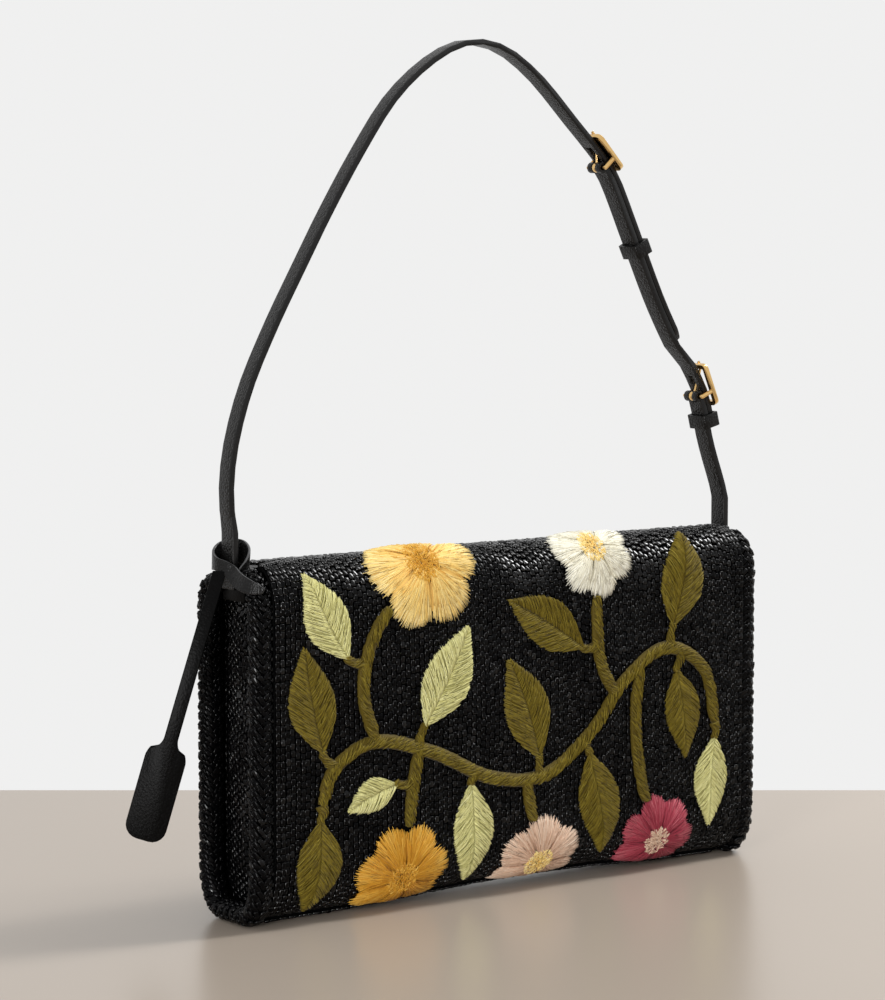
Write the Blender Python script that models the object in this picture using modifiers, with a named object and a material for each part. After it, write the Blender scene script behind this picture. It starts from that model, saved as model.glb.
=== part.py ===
"""A beaded zip-top shoulder bag with a two-buckle leather strap and a leather tag.

Metres, +Z up. X runs along the bag, -Y is its embroidered front, and the origin is
the middle of the flat underside. Run with blender --background --python part.py.
"""

import math

import bmesh
import bpy
import numpy as np
from mathutils import Matrix, Vector

# Body
BAG_LENGTH = 0.270
BAG_HEIGHT = 0.150
BAG_DEPTH = 0.048
BASE_RISE = 0.0028
PANEL_WALL = 0.0020
PANEL_SWELL = 0.0021
TOP_CORNER_DEPTH = 0.014
TOP_CORNER_HEIGHT = 0.020
BOTTOM_CORNER_DEPTH = 0.015
BOTTOM_CORNER_HEIGHT = 0.024
MOUTH_LIP_DROP = 0.0050
CLEARANCE = 0.0003
OVERRUN = 0.004

# Edge rolls
ROLL_RADIUS = 0.0060
ROLL_SET_BACK = 0.0006

# Gussets, lining and what it holds
GUSSET_WALL = 0.0020
GUSSET_DIP = 0.0050
GUSSET_TOP_DROP = 0.0110
LINING_WALL = 0.0010
LINING_TOP_DROP = 0.0085
STIFFENER_WALL = 0.0015
POCKET_LENGTH = 0.130
POCKET_HEIGHT = 0.070
POCKET_WALL = 0.0010
POCKET_GAP = 0.0050
POCKET_RISE = 0.045

# Zip
ZIP_END_LENGTH = 0.0255
TAPE_WALL = 0.0008
TAPE_REACH = 0.0106
TEETH_BAND = 0.0026
TEETH_HEIGHT = 0.0020
TOOTH_PITCH = 0.0040
TOOTH_LENGTH = 0.0015
TOOTH_REACH = 0.0007
SLIDER_LENGTH = 0.0110
SLIDER_WIDTH = 0.0085
SLIDER_WALL = 0.0012
BRIDGE_HEIGHT = 0.0026
BRIDGE_RADIUS = 0.0006
PULLER_LENGTH = 0.0240
PULLER_WIDTH = 0.0060
PULLER_WALL = 0.0010

# Leather tabs and strap
TAB_WIDTH = 0.0168
TAB_WALL = 0.0020
TAB_TONGUE = 0.0038
TAB_DROP = 0.0240
TAB_BEND = 0.0030
STRAP_WIDTH = 0.0085
STRAP_WALL = 0.0025
STRAP_INSET = 0.0030
STRAP_PEAK = 0.3638
PIVOT_RISE = 0.0120
ANCHOR_DROP = 0.0190
TIP_LENGTH = 0.0055

# Buckles and keepers
FRAME_LENGTH = 0.0200
FRAME_SIDE_GAP = 0.0007
FRAME_BAR = 0.0020
BUCKLE_BAR_RADIUS = 0.0010
FOLD_WALL = 0.0011
PRONG_RADIUS = 0.0007
PRONG_EYE_WALL = 0.0009
PRONG_SLOT_WIDTH = 0.0026
KEEPER_LENGTH = 0.0062
KEEPER_WALL = 0.0013
KEEPER_GAP = 0.0005

# Tag on its thong
KNOT_WALL = 0.0026
THONG_LENGTH = 0.0780
THONG_WIDTH = 0.0058
TAG_WIDTH = 0.0170
TAG_LENGTH = 0.0420
TAG_WALL = 0.0020
TAG_SHOULDER = 0.0055
TAG_CORNER = 0.0060
TAG_LEAN = math.radians(15.7)
TAG_SWEEP = math.radians(-1.6)
TAG_FACING = math.radians(37.0)

# Embroidery
THREAD_GAP = 0.0008
THREAD_RISE = 0.0014
STEM_RISE = 0.0016
STEM_WIDTH = 0.0066
STEM_STEP = 0.0060
BRANCH_TRIM_SHARE = 1.3

# Places along the strap, as shares of its whole curve
UPPER_BUCKLE_SHARE = 0.668
UPPER_KEEPER_SHARE = 0.753
LONG_TIP_SHARE = 0.846
LOWER_BUCKLE_SHARE = 0.902
LOWER_KEEPER_SHARE = 0.927
MIDDLE_TIP_SHARE = 0.9350

# The bar's place in its buckle frame, from the end where the prong rests
FRAME_BAR_SHARE = 0.65

# Cross sections of the front and back that the swell bends, along half the bag
SWELL_STATION_SHARES = (0.12, 0.36, 0.62, 0.86, 1.0)

# Corner radii of the base strip at its left and right ends, as shares of its half width
BASE_CORNER_SHARES = (0.6, 0.4)

# The strap's outer layer in side view: shares of its half spread and of its rise
ARCH_SHARES = (
    (-1.000, 0.000),
    (-1.013, 0.060),
    (-0.998, 0.165),
    (-0.942, 0.286),
    (-0.852, 0.406),
    (-0.747, 0.526),
    (-0.636, 0.648),
    (-0.514, 0.770),
    (-0.386, 0.880),
    (-0.236, 0.959),
    (-0.095, 0.997),
    (0.045, 0.986),
    (0.188, 0.928),
    (0.332, 0.839),
    (0.450, 0.765),
    (0.514, 0.714),
    (0.612, 0.583),
    (0.711, 0.450),
    (0.800, 0.350),
    (0.864, 0.287),
    (0.903, 0.243),
    (0.926, 0.198),
    (0.943, 0.154),
    (0.970, 0.079),
    (0.989, 0.030),
    (1.000, 0.000),
)

COLLECTION = "beaded_shoulder_bag"

# Sizes that follow
HALF_DEPTH = BAG_DEPTH / 2
ROLL_X = BAG_LENGTH / 2 - ROLL_RADIUS
GUSSET_OUTER_X = ROLL_X - ROLL_RADIUS - CLEARANCE
PANEL_HALF = GUSSET_OUTER_X
ROLL_INSET = ROLL_SET_BACK + ROLL_RADIUS
TOP_FLAT = HALF_DEPTH - TOP_CORNER_DEPTH
BOTTOM_FLAT = HALF_DEPTH - BOTTOM_CORNER_DEPTH
FACE_FOOT = BASE_RISE + BOTTOM_CORNER_HEIGHT
FACE_TOP = BAG_HEIGHT - TOP_CORNER_HEIGHT
LIP_FOOT = BAG_HEIGHT - MOUTH_LIP_DROP
TAPE_TOP = LIP_FOOT - CLEARANCE
TAPE_FOOT = TAPE_TOP - TAPE_WALL
TEETH_TOP = TAPE_FOOT + TEETH_HEIGHT
STRAP_SPREAD = BAG_LENGTH / 2 - STRAP_INSET
TAB_X = STRAP_SPREAD - STRAP_WALL / 2 - CLEARANCE
TAB_STEP_X = PANEL_HALF - TAB_BEND
TAB_INNER_X = TAB_STEP_X - TAB_TONGUE
ZIP_LENGTH = 2 * (TAB_INNER_X - ZIP_END_LENGTH - 2 * CLEARANCE)
TAB_TOP = BAG_HEIGHT - ROLL_SET_BACK
KNOT_TOP = TAB_TOP + CLEARANCE + 0.85 * STRAP_WIDTH
PIVOT_Z = BAG_HEIGHT + PIVOT_RISE
ARCH_RISE = STRAP_PEAK - PIVOT_Z
LAYER_STEP = STRAP_WALL + CLEARANCE
FOLD_INNER = BUCKLE_BAR_RADIUS + CLEARANCE
FOLD_OUTER = FOLD_INNER + FOLD_WALL
BAR_DEPTH = STRAP_WALL / 2 + CLEARANCE + FOLD_OUTER
FRAME_RISE = STRAP_WALL / 2 + CLEARANCE + FRAME_BAR / 2
FRAME_INNER_HALF = STRAP_WIDTH / 2 + FRAME_SIDE_GAP


def clear_scene():
    for old in list(bpy.data.objects):
        bpy.data.objects.remove(old, do_unlink=True)
    parts = bpy.data.collections.new(COLLECTION)
    cutters = bpy.data.collections.new("cutters")
    for collection in (parts, cutters):
        bpy.context.scene.collection.children.link(collection)
    return parts, cutters


PARTS, CUTTERS = clear_scene()


def material(name, colour, roughness, metallic=0.0):
    made = bpy.data.materials.new(name)
    made.use_nodes = True
    shader = made.node_tree.nodes["Principled BSDF"]
    shader.inputs["Base Color"].default_value = (*colour, 1.0)
    shader.inputs["Roughness"].default_value = roughness
    shader.inputs["Metallic"].default_value = metallic
    return made


BEADS = material("black_glass_beads", (0.012, 0.012, 0.014), 0.22)
LEATHER = material("black_grained_leather", (0.014, 0.013, 0.013), 0.48)
GOLD = material("gold_plate", (0.83, 0.60, 0.25), 0.22, 1.0)
CLOTH = material("black_cotton_lining", (0.020, 0.020, 0.022), 0.85)
OLIVE = material("olive_thread", (0.155, 0.130, 0.025), 0.60)
PALE_GREEN = material("pale_green_thread", (0.58, 0.62, 0.30), 0.60)
ROSE = material("crimson_thread", (0.36, 0.06, 0.09), 0.60)
BLUSH = material("blush_thread", (0.78, 0.56, 0.42), 0.60)
OCHRE = material("ochre_thread", (0.62, 0.34, 0.06), 0.60)
YELLOW = material("yellow_thread", (0.88, 0.62, 0.22), 0.60)
IVORY = material("ivory_thread", (0.86, 0.82, 0.70), 0.60)


def add_object(name, data, finish=None):
    made = bpy.data.objects.new(name, data)
    if finish:
        data.materials.append(finish)
        PARTS.objects.link(made)
    else:
        CUTTERS.objects.link(made)
        made.hide_render = True
        made.display_type = "WIRE"
    return made


def smooth(made):
    made.data.shade_smooth()
    made.data.set_sharp_from_angle(angle=math.radians(40))


def soften(made, width):
    bevel = made.modifiers.new("soft_edges", "BEVEL")
    bevel.width = width
    bevel.segments = 1
    bevel.limit_method = "ANGLE"
    bevel.angle_limit = math.radians(50)


# Frames for flat outlines: local X and Y carry the outline, local Z its thickness
ALONG_X = Matrix(((0, 0, 1), (1, 0, 0), (0, 1, 0))).to_4x4()
ALONG_Y = Matrix(((1, 0, 0), (0, 0, -1), (0, 1, 0))).to_4x4()


def meshed(curve_object):
    """The curve's evaluated mesh, with its loose caps welded, in place of the curve."""
    graph = bpy.context.evaluated_depsgraph_get()
    mesh = bpy.data.meshes.new_from_object(curve_object.evaluated_get(graph))
    work = bmesh.new()
    work.from_mesh(mesh)
    bmesh.ops.remove_doubles(work, verts=work.verts, dist=CLEARANCE / 100)
    work.to_mesh(mesh)
    work.free()
    name, world = curve_object.name, curve_object.matrix_world.copy()
    finish = curve_object.data.materials[0] if curve_object.data.materials else None
    bpy.data.objects.remove(curve_object, do_unlink=True)
    mesh.materials.clear()
    made = add_object(name, mesh, finish)
    made.matrix_world = world
    return made


def flat_outline(name, outlines, thickness, world, finish=None):
    """A closed outline, with any holes, raised to a solid of this thickness."""
    data = bpy.data.curves.new(name, "CURVE")
    data.dimensions = "2D"
    data.fill_mode = "BOTH"
    data.extrude = thickness / 2
    for outline in outlines:
        spline = data.splines.new("POLY")
        spline.points.add(len(outline) - 1)
        for point, place in zip(spline.points, outline):
            point.co = (place[0], place[1], 0.0, 1.0)
        spline.use_cyclic_u = True
    made = add_object(name, data, finish)
    made.matrix_world = world
    bpy.context.view_layer.update()
    return meshed(made)


def tube(name, points, radius, finish=None, closed=False, world=None, sides=2):
    data = bpy.data.curves.new(name, "CURVE")
    data.dimensions = "3D"
    data.bevel_depth = radius
    data.bevel_resolution = sides
    data.use_fill_caps = True
    spline = data.splines.new("POLY")
    spline.points.add(len(points) - 1)
    for point, place in zip(spline.points, points):
        point.co = (*place, 1.0)
    spline.use_cyclic_u = closed
    made = add_object(name, data, finish)
    made.matrix_world = world or Matrix.Identity(4)
    bpy.context.view_layer.update()
    return meshed(made)


def block(name, low, high, finish=None, world=None):
    mesh = bpy.data.meshes.new(name)
    work = bmesh.new()
    bmesh.ops.create_cube(work, size=1.0)
    sides = [b - a for a, b in zip(low, high)]
    middle = [(a + b) / 2 for a, b in zip(low, high)]
    bmesh.ops.scale(work, vec=sides, verts=work.verts)
    bmesh.ops.translate(work, vec=middle, verts=work.verts)
    work.to_mesh(mesh)
    work.free()
    made = add_object(name, mesh, finish)
    made.matrix_world = world or Matrix.Identity(4)
    return made


def boolean(target, other, operation):
    step = target.modifiers.new(other.name, "BOOLEAN")
    step.operation = operation
    step.solver = "EXACT"
    step.object = other


def arc(centre, radii, start, end, steps):
    """Points on a quarter of an ellipse, angles in degrees, both ends included."""
    turns = np.radians(np.linspace(start, end, steps + 1))
    return [
        (centre[0] + radii[0] * math.cos(a), centre[1] + radii[1] * math.sin(a))
        for a in turns
    ]


CORNER_STEPS = 8
FACE_STEPS = 5


def front_profile(inset, foot=BASE_RISE):
    """The bag's front in side view, from the underside up to the crest, moved inwards."""
    bottom_radii = (BOTTOM_CORNER_DEPTH - inset, BOTTOM_CORNER_HEIGHT - inset)
    top_radii = (TOP_CORNER_DEPTH - inset, TOP_CORNER_HEIGHT - inset)
    low_centre = (-BOTTOM_FLAT, foot + BOTTOM_CORNER_HEIGHT)
    lower = arc(low_centre, bottom_radii, 270, 180, CORNER_STEPS)
    upper = arc((-TOP_FLAT, FACE_TOP), top_radii, 180, 90, CORNER_STEPS)
    return lower + upper


def other_side(points):
    return [(-y, z) for y, z in points]


def ease(t):
    t = min(max(t, 0.0), 1.0)
    return t * t * (3 - 2 * t)


def swelled(x, y, z):
    """Where a point of the front or back lies once the bag is filled. The cloth swells
    most in its middle, and not at all at the seams, the crest and the base."""
    along = 1 - min(abs(x) / PANEL_HALF, 1.0) ** 2.4
    up = math.sin(math.pi * min(max(z / BAG_HEIGHT, 0.0), 1.0))
    outer = ease((abs(y) - TOP_FLAT) / TOP_CORNER_DEPTH)
    return (x, y + math.copysign(PANEL_SWELL * along * up * outer, y), z)


def with_face_points(profile):
    """The profile with points up its flat face, where the swell bends it."""
    low, high = profile[CORNER_STEPS], profile[CORNER_STEPS + 1]
    shares = np.linspace(0, 1, FACE_STEPS + 1)[1:-1]
    face = [(low[0], low[1] + (high[1] - low[1]) * share) for share in shares]
    return profile[: CORNER_STEPS + 1] + face + profile[CORNER_STEPS + 1 :]


def panel(name, side):
    """The front or back: beaded cloth from the folded lip of the mouth to the base."""
    outer = with_face_points(front_profile(0.0))
    inner = with_face_points(front_profile(PANEL_WALL))
    lip = [
        (-TOP_FLAT + CLEARANCE, BAG_HEIGHT),
        (-TOP_FLAT + CLEARANCE, LIP_FOOT),
        (-TOP_FLAT - PANEL_WALL, LIP_FOOT),
    ]
    outline = outer + lip + inner[::-1][1:]
    if side > 0:
        outline = other_side(outline)
    right = [share * PANEL_HALF for share in SWELL_STATION_SHARES]
    mesh = bpy.data.meshes.new(name)
    work = bmesh.new()
    sections = [
        [work.verts.new(swelled(x, y, z)) for y, z in outline]
        for x in [-place for place in right[::-1]] + right
    ]
    count = len(outline)
    for ring, beyond in zip(sections, sections[1:]):
        for i in range(count):
            j = (i + 1) % count
            work.faces.new((ring[i], ring[j], beyond[j], beyond[i]))
    work.faces.new(sections[0][::-1])
    work.faces.new(sections[-1])
    bmesh.ops.recalc_face_normals(work, faces=work.faces)
    work.to_mesh(mesh)
    work.free()
    smooth(add_object(name, mesh, BEADS))


def base_outline(half):
    """The base strip in plan, its corners rounder at the left end than at the right."""
    points = []
    for x, y, start in ((1, 1, 0), (-1, 1, 90), (-1, -1, 180), (1, -1, 270)):
        corner = half * BASE_CORNER_SHARES[x > 0]
        centre = (x * (PANEL_HALF - corner), y * (half - corner))
        points += arc(centre, (corner, corner), start, start + 90, 4)
    return points


def make_body():
    panel("front_panel", -1)
    panel("back_panel", 1)
    half = BOTTOM_FLAT - CLEARANCE
    top = BASE_RISE + PANEL_WALL
    seat = Matrix.Translation((0, 0, top / 2))
    flat_outline("bottom_panel", [base_outline(half)], top, seat, BEADS)
    rise = top + CLEARANCE
    length = PANEL_HALF - GUSSET_WALL - 2 * ROLL_RADIUS
    block(
        "base_stiffener",
        (-length, -half, rise),
        (length, half, rise + STIFFENER_WALL),
        CLOTH,
    )


def roll_path():
    """From one end of the roll at the crest, round under the gusset, to the other end.
    The rolls reach lower than the front and back, so the bag stands on them."""
    front = front_profile(ROLL_INSET, -ROLL_SET_BACK)
    return other_side(front)[::-1] + front


def make_roll(name, side):
    points = [(side * ROLL_X, y, z) for y, z in roll_path()]
    tube(name, points, ROLL_RADIUS, BEADS, sides=2)


def make_gusset(name, side):
    """An end wall between the rolls, drawn inwards along its middle."""
    inset = PANEL_WALL + GUSSET_WALL / 2 + CLEARANCE
    top = BAG_HEIGHT - GUSSET_TOP_DROP
    half = [(y, z) for y, z in front_profile(inset) if z < top]
    top_half_depth = HALF_DEPTH - inset - (top - BAG_HEIGHT + TOP_CORNER_HEIGHT) * 0.35
    half.append((-top_half_depth, top))
    loop = half + other_side(half)[::-1]
    shares = (1.0, 0.72, 0.40)
    centre_z = BAG_HEIGHT / 2
    mesh = bpy.data.meshes.new(name)
    work = bmesh.new()
    rings = []
    for share in shares:
        dip = GUSSET_DIP * (1 - share**2)
        x = side * (GUSSET_OUTER_X - dip)
        rings.append(
            [
                work.verts.new((x, y * share, centre_z + (z - centre_z) * share))
                for y, z in loop
            ]
        )
    for ring, inside in zip(rings, rings[1:]):
        for i in range(len(loop)):
            j = (i + 1) % len(loop)
            work.faces.new((ring[i], ring[j], inside[j], inside[i]))
    middle = work.verts.new((side * (GUSSET_OUTER_X - GUSSET_DIP), 0.0, centre_z))
    last = rings[-1]
    for i in range(len(loop)):
        work.faces.new((last[i], last[(i + 1) % len(loop)], middle))
    bmesh.ops.recalc_face_normals(work, faces=work.faces)
    work.faces.ensure_lookup_table()
    if work.faces[0].normal.x * side < 0:
        bmesh.ops.reverse_faces(work, faces=work.faces)
    work.to_mesh(mesh)
    work.free()
    made = add_object(name, mesh, BEADS)
    wall = made.modifiers.new("wall", "SOLIDIFY")
    wall.thickness = GUSSET_WALL
    wall.offset = -1.0
    smooth(made)


def make_lining():
    """A cloth pouch inside the panels, open under the zip."""
    inset = PANEL_WALL + CLEARANCE + STIFFENER_WALL + CLEARANCE
    top = BAG_HEIGHT - LINING_TOP_DROP
    end = GUSSET_OUTER_X - GUSSET_WALL - GUSSET_DIP - CLEARANCE
    wall = LINING_WALL

    def pouch(depth, upper):
        points = [(y, z) for y, z in front_profile(depth) if z < top - OVERRUN / 2]
        points.append((points[-1][0] + OVERRUN / 8, upper))
        return points + other_side(points)[::-1]

    lining = flat_outline("lining", [pouch(inset, top)], 2 * end, ALONG_X, CLOTH)
    hollow = flat_outline(
        "lining_hollow",
        [pouch(inset + wall, top + OVERRUN)],
        2 * (end - wall),
        ALONG_X,
    )
    boolean(lining, hollow, "DIFFERENCE")
    back = HALF_DEPTH - inset - wall - CLEARANCE
    low = POCKET_RISE
    high = low + POCKET_HEIGHT
    half = POCKET_LENGTH / 2
    depth = POCKET_GAP + POCKET_WALL
    pocket = block(
        "slip_pocket", (-half, back - depth, low), (half, back, high), CLOTH
    )
    space = block(
        "slip_pocket_space",
        (-half + POCKET_WALL, back - POCKET_GAP, low + POCKET_WALL),
        (half - POCKET_WALL, back + OVERRUN, high + OVERRUN),
    )
    boolean(pocket, space, "DIFFERENCE")


def comb_outline(side):
    """One row of zip teeth in plan, on its cord."""
    half = ZIP_LENGTH / 2
    inner = CLEARANCE + TOOTH_REACH
    shift = 0.0 if side < 0 else TOOTH_PITCH / 2
    edge = [(-half, side * inner)]
    count = int(ZIP_LENGTH / TOOTH_PITCH) - 1
    for i in range(count):
        start = -half + TOOTH_PITCH * (i + 0.25) + shift
        for x, reach in ((0, inner), (0, -TOOTH_REACH), (TOOTH_LENGTH, -TOOTH_REACH)):
            edge.append((start + x, side * reach))
        edge.append((start + TOOTH_LENGTH, side * inner))
    edge.append((half, side * inner))
    outer = CLEARANCE + TEETH_BAND
    return edge + [(half, side * outer), (-half, side * outer)]


def make_zip_half(end_name, side):
    half = ZIP_LENGTH / 2
    near, far = side * (CLEARANCE + TEETH_BAND + CLEARANCE), side * TAPE_REACH
    low, high = min(near, far), max(near, far)
    block(
        "zip_tape_" + end_name,
        (-half, low, TAPE_FOOT),
        (half, high, TAPE_TOP),
        CLOTH,
    )
    middle = Matrix.Translation((0, 0, TAPE_FOOT + TEETH_HEIGHT / 2))
    flat_outline(
        "zip_teeth_" + end_name, [comb_outline(side)], TEETH_HEIGHT, middle, GOLD
    )


def make_zip_end(name, side):
    """A short fixed length of zip, sewn down, where the slider comes to rest."""
    near = side * (ZIP_LENGTH / 2 + CLEARANCE)
    far = near + side * ZIP_END_LENGTH
    low, high = min(near, far), max(near, far)
    half = TAPE_REACH
    made = block(name, (low, -half, TAPE_FOOT), (high, half, TAPE_TOP), CLOTH)
    chain = CLEARANCE + TEETH_BAND
    rib = block(
        name + "_chain",
        (low + CLEARANCE, -chain, TAPE_FOOT + TAPE_WALL / 2),
        (high - CLEARANCE, chain, TEETH_TOP),
    )
    boolean(made, rib, "UNION")


SLIDER_X = ZIP_LENGTH / 2 + CLEARANCE + SLIDER_LENGTH / 2
BRIDGE_REACH = SLIDER_LENGTH * 0.27


def make_slider():
    foot = TEETH_TOP + CLEARANCE
    top = foot + SLIDER_WALL
    half = SLIDER_LENGTH / 2
    wide = SLIDER_WIDTH / 2
    outline = arc((-half + wide, 0), (wide, wide), 90, 270, CORNER_STEPS)
    outline += [(half, -wide * 0.72), (half, wide * 0.72)]
    seat = Matrix.Translation((SLIDER_X, 0, (foot + top) / 2))
    slider = flat_outline("zip_slider", [outline], SLIDER_WALL, seat, GOLD)
    crown = top + BRIDGE_HEIGHT
    arch = [
        (-BRIDGE_REACH, 0, top - SLIDER_WALL / 2),
        (-BRIDGE_REACH, 0, crown),
        (BRIDGE_REACH, 0, crown),
        (BRIDGE_REACH, 0, top - SLIDER_WALL / 2),
    ]
    bridge = tube(
        "slider_bridge", arch, BRIDGE_RADIUS, world=Matrix.Translation((SLIDER_X, 0, 0))
    )
    boolean(slider, bridge, "UNION")
    return top, crown


def make_puller(top, crown):
    """A leather pull with an eye round the slider's bridge, lying towards the end tab."""
    half = PULLER_WIDTH / 2
    near = half * 0.75
    bar = PULLER_WALL / 2
    outline = [(-bar, near), (-bar, -near), (SLIDER_LENGTH, -half)]
    outline += arc((PULLER_LENGTH - half, 0), (half, half), -90, 90, CORNER_STEPS)
    outline += [(SLIDER_LENGTH, half)]
    eye_end = BRIDGE_REACH + BRIDGE_RADIUS + 2 * PULLER_WALL
    eye_half = BRIDGE_RADIUS + 2 * CLEARANCE
    eye = [(bar, -eye_half), (bar, eye_half), (eye_end, eye_half), (eye_end, -eye_half)]
    origin = Matrix.Translation((SLIDER_X, 0, (top + crown - BRIDGE_RADIUS) / 2))
    flat_outline("zip_puller", [outline, eye], PULLER_WALL, origin, LEATHER)


def catmull(points, steps):
    """A smooth curve through the points, with this many steps to each span."""
    p = np.array(points, float)
    p = np.vstack([2 * p[0] - p[1], p, 2 * p[-1] - p[-2]])
    out = []
    for a, b, c, d in zip(p, p[1:], p[2:], p[3:]):
        for t in np.linspace(0, 1, steps, endpoint=False):
            out.append(
                0.5
                * (
                    2 * b
                    + (c - a) * t
                    + (2 * a - 5 * b + 4 * c - d) * t**2
                    + (3 * b - 3 * c + d - a) * t**3
                )
            )
    out.append(p[-2])
    return np.array(out)


class StrapCurve:
    """The arch of the strap's outer layer, read at a share of its whole length."""

    def __init__(self):
        places = [(x * STRAP_SPREAD, PIVOT_Z + z * ARCH_RISE) for x, z in ARCH_SHARES]
        arch = catmull(places, 24)
        steps = np.linalg.norm(np.diff(arch, axis=0), axis=1)
        along = np.concatenate([[0], np.cumsum(steps)])
        self.length = along[-1]
        drop = np.array([0.0, STRAP_WIDTH])
        self.points = np.vstack([arch[0] - drop, arch, arch[-1] - drop])
        self.along = np.concatenate([[-STRAP_WIDTH], along, [self.length + STRAP_WIDTH]])

    def at(self, share):
        s = share * self.length
        return np.array([np.interp(s, self.along, self.points[:, k]) for k in (0, 1)])

    def heading(self, share):
        nudge = 2 * STRAP_WALL / self.length
        step = self.at(share + nudge) - self.at(share - nudge)
        return step / np.linalg.norm(step)

    def outward(self, share):
        tx, tz = self.heading(share)
        return np.array([-tz, tx])

    def frame(self, share):
        """World matrix at the curve: X along it, Y across the strap, Z outwards."""
        (x, z), (tx, tz) = self.at(share), self.heading(share)
        turn = Matrix(((tx, 0, -tz), (0, 1, 0), (tz, 0, tx))).to_4x4()
        return Matrix.Translation((x, 0, z)) @ turn

    def side_frame(self, share):
        """World matrix for outlines in the strap's side view."""
        (x, z), (tx, tz) = self.at(share), self.heading(share)
        turn = Matrix(((tx, -tz, 0), (0, 0, -1), (tz, tx, 0))).to_4x4()
        return Matrix.Translation((x, 0, z)) @ turn


CURVE = StrapCurve()


def strap_layer(name, stations, layer, half_width):
    """A strap lofted along the curve: layer(share) is its depth, half_width its breadth."""
    mesh = bpy.data.meshes.new(name)
    work = bmesh.new()
    sections = []
    for share in stations:
        place = CURVE.at(share)
        outward = CURVE.outward(share)
        breadth = half_width(share)
        ring = []
        for up, across in ((1, -1), (1, 1), (-1, 1), (-1, -1)):
            x, z = place + outward * (layer(share) + up * STRAP_WALL / 2)
            ring.append(work.verts.new((x, across * breadth, z)))
        sections.append(ring)
    for ring, beyond in zip(sections, sections[1:]):
        for i in range(4):
            j = (i + 1) % 4
            work.faces.new((ring[i], ring[j], beyond[j], beyond[i]))
    work.faces.new(sections[0][::-1])
    work.faces.new(sections[-1])
    bmesh.ops.recalc_face_normals(work, faces=work.faces)
    work.to_mesh(mesh)
    work.free()
    return add_object(name, mesh, LEATHER)


def round_end_stations(share, direction):
    """Stations and half widths that round a strap's end off about its pivot."""
    radius = STRAP_WIDTH / 2
    found = []
    for angle in (76, 52, 26, 0):
        a = math.radians(angle)
        beyond = radius * math.sin(a) / CURVE.length
        found.append((share - direction * beyond, radius * math.cos(a)))
    return found


def spaced(start, end, step):
    count = max(2, int(round(abs(end - start) * CURVE.length / step)))
    return list(np.linspace(start, end, count + 1))


STATION_STEP = 0.009


def tip_width(share, end):
    """The breadth near a strap's free tip, which narrows to a blunt point."""
    left = abs(end - share) * CURVE.length
    keep = 0.45
    if left >= TIP_LENGTH:
        return STRAP_WIDTH / 2
    return STRAP_WIDTH / 2 * (keep + (1 - keep) * math.sqrt(left / TIP_LENGTH))


def make_fold(strap, buckle_share, name):
    """The folded end of a strap round a buckle's bar, slotted for the prong."""
    world = CURVE.side_frame(buckle_share)
    centre = (0.0, -BAR_DEPTH)
    ring = [
        arc(centre, (r, r), 7.5, 367.5, 24)[:-1] for r in (FOLD_OUTER, FOLD_INNER)
    ]
    fold = flat_outline(name + "_fold", ring, STRAP_WIDTH - CLEARANCE, world)
    boolean(strap, fold, "UNION")
    gap = PRONG_SLOT_WIDTH / 2
    reach = FOLD_OUTER + CLEARANCE
    slot = block(
        name + "_slot",
        (-reach, -gap, -BAR_DEPTH - reach),
        (FOLD_OUTER + 2 * CLEARANCE, gap, -BAR_DEPTH + reach),
        world=CURVE.frame(buckle_share),
    )
    boolean(strap, slot, "DIFFERENCE")


def cut_prong_slot(strap, buckle_share, name):
    gap = PRONG_SLOT_WIDTH / 2
    slot = block(
        name,
        (-FRAME_LENGTH * 0.46, -gap, -STRAP_WALL),
        (FRAME_LENGTH * 0.10, gap, STRAP_WALL),
        world=CURVE.frame(buckle_share),
    )
    boolean(strap, slot, "DIFFERENCE")


def rounded_loop(half_length, half_width, corner):
    points = []
    for sx, sy, start in ((1, 1, 0), (-1, 1, 90), (-1, -1, 180), (1, -1, 270)):
        centre = (sx * (half_length - corner), sy * (half_width - corner))
        points += arc(centre, (corner, corner), start, start + 90, 4)
    return points


def make_buckle(name, share):
    """A gold frame outside the strap, with its bar on stems under the strap."""
    outer = FRAME_INNER_HALF + FRAME_BAR
    corner = FRAME_BAR * 1.3
    loops = [
        rounded_loop(FRAME_LENGTH / 2, outer, corner),
        rounded_loop(FRAME_LENGTH / 2 - FRAME_BAR, FRAME_INNER_HALF, FRAME_BAR / 3),
    ]
    shift = (0.5 - FRAME_BAR_SHARE) * FRAME_LENGTH
    world = CURVE.frame(share) @ Matrix.Translation((shift, 0, FRAME_RISE))
    frame = flat_outline(name, loops, FRAME_BAR, world, GOLD)
    side = FRAME_INNER_HALF + FRAME_BAR / 2
    bar = [
        (0, -side, FRAME_RISE),
        (0, -side, -BAR_DEPTH),
        (0, side, -BAR_DEPTH),
        (0, side, FRAME_RISE),
    ]
    stems = tube(name + "_bar", bar, BUCKLE_BAR_RADIUS, world=CURVE.frame(share))
    boolean(frame, stems, "UNION")


def prong_aim():
    """Side-view vector from the buckle's bar to the frame's inner edge, where the prong
    comes to lie on it."""
    tip_rise = FRAME_RISE + FRAME_BAR / 2 + CLEARANCE + PRONG_RADIUS
    return (FRAME_BAR * 1.4 - FRAME_BAR_SHARE * FRAME_LENGTH, tip_rise + BAR_DEPTH)


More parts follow.
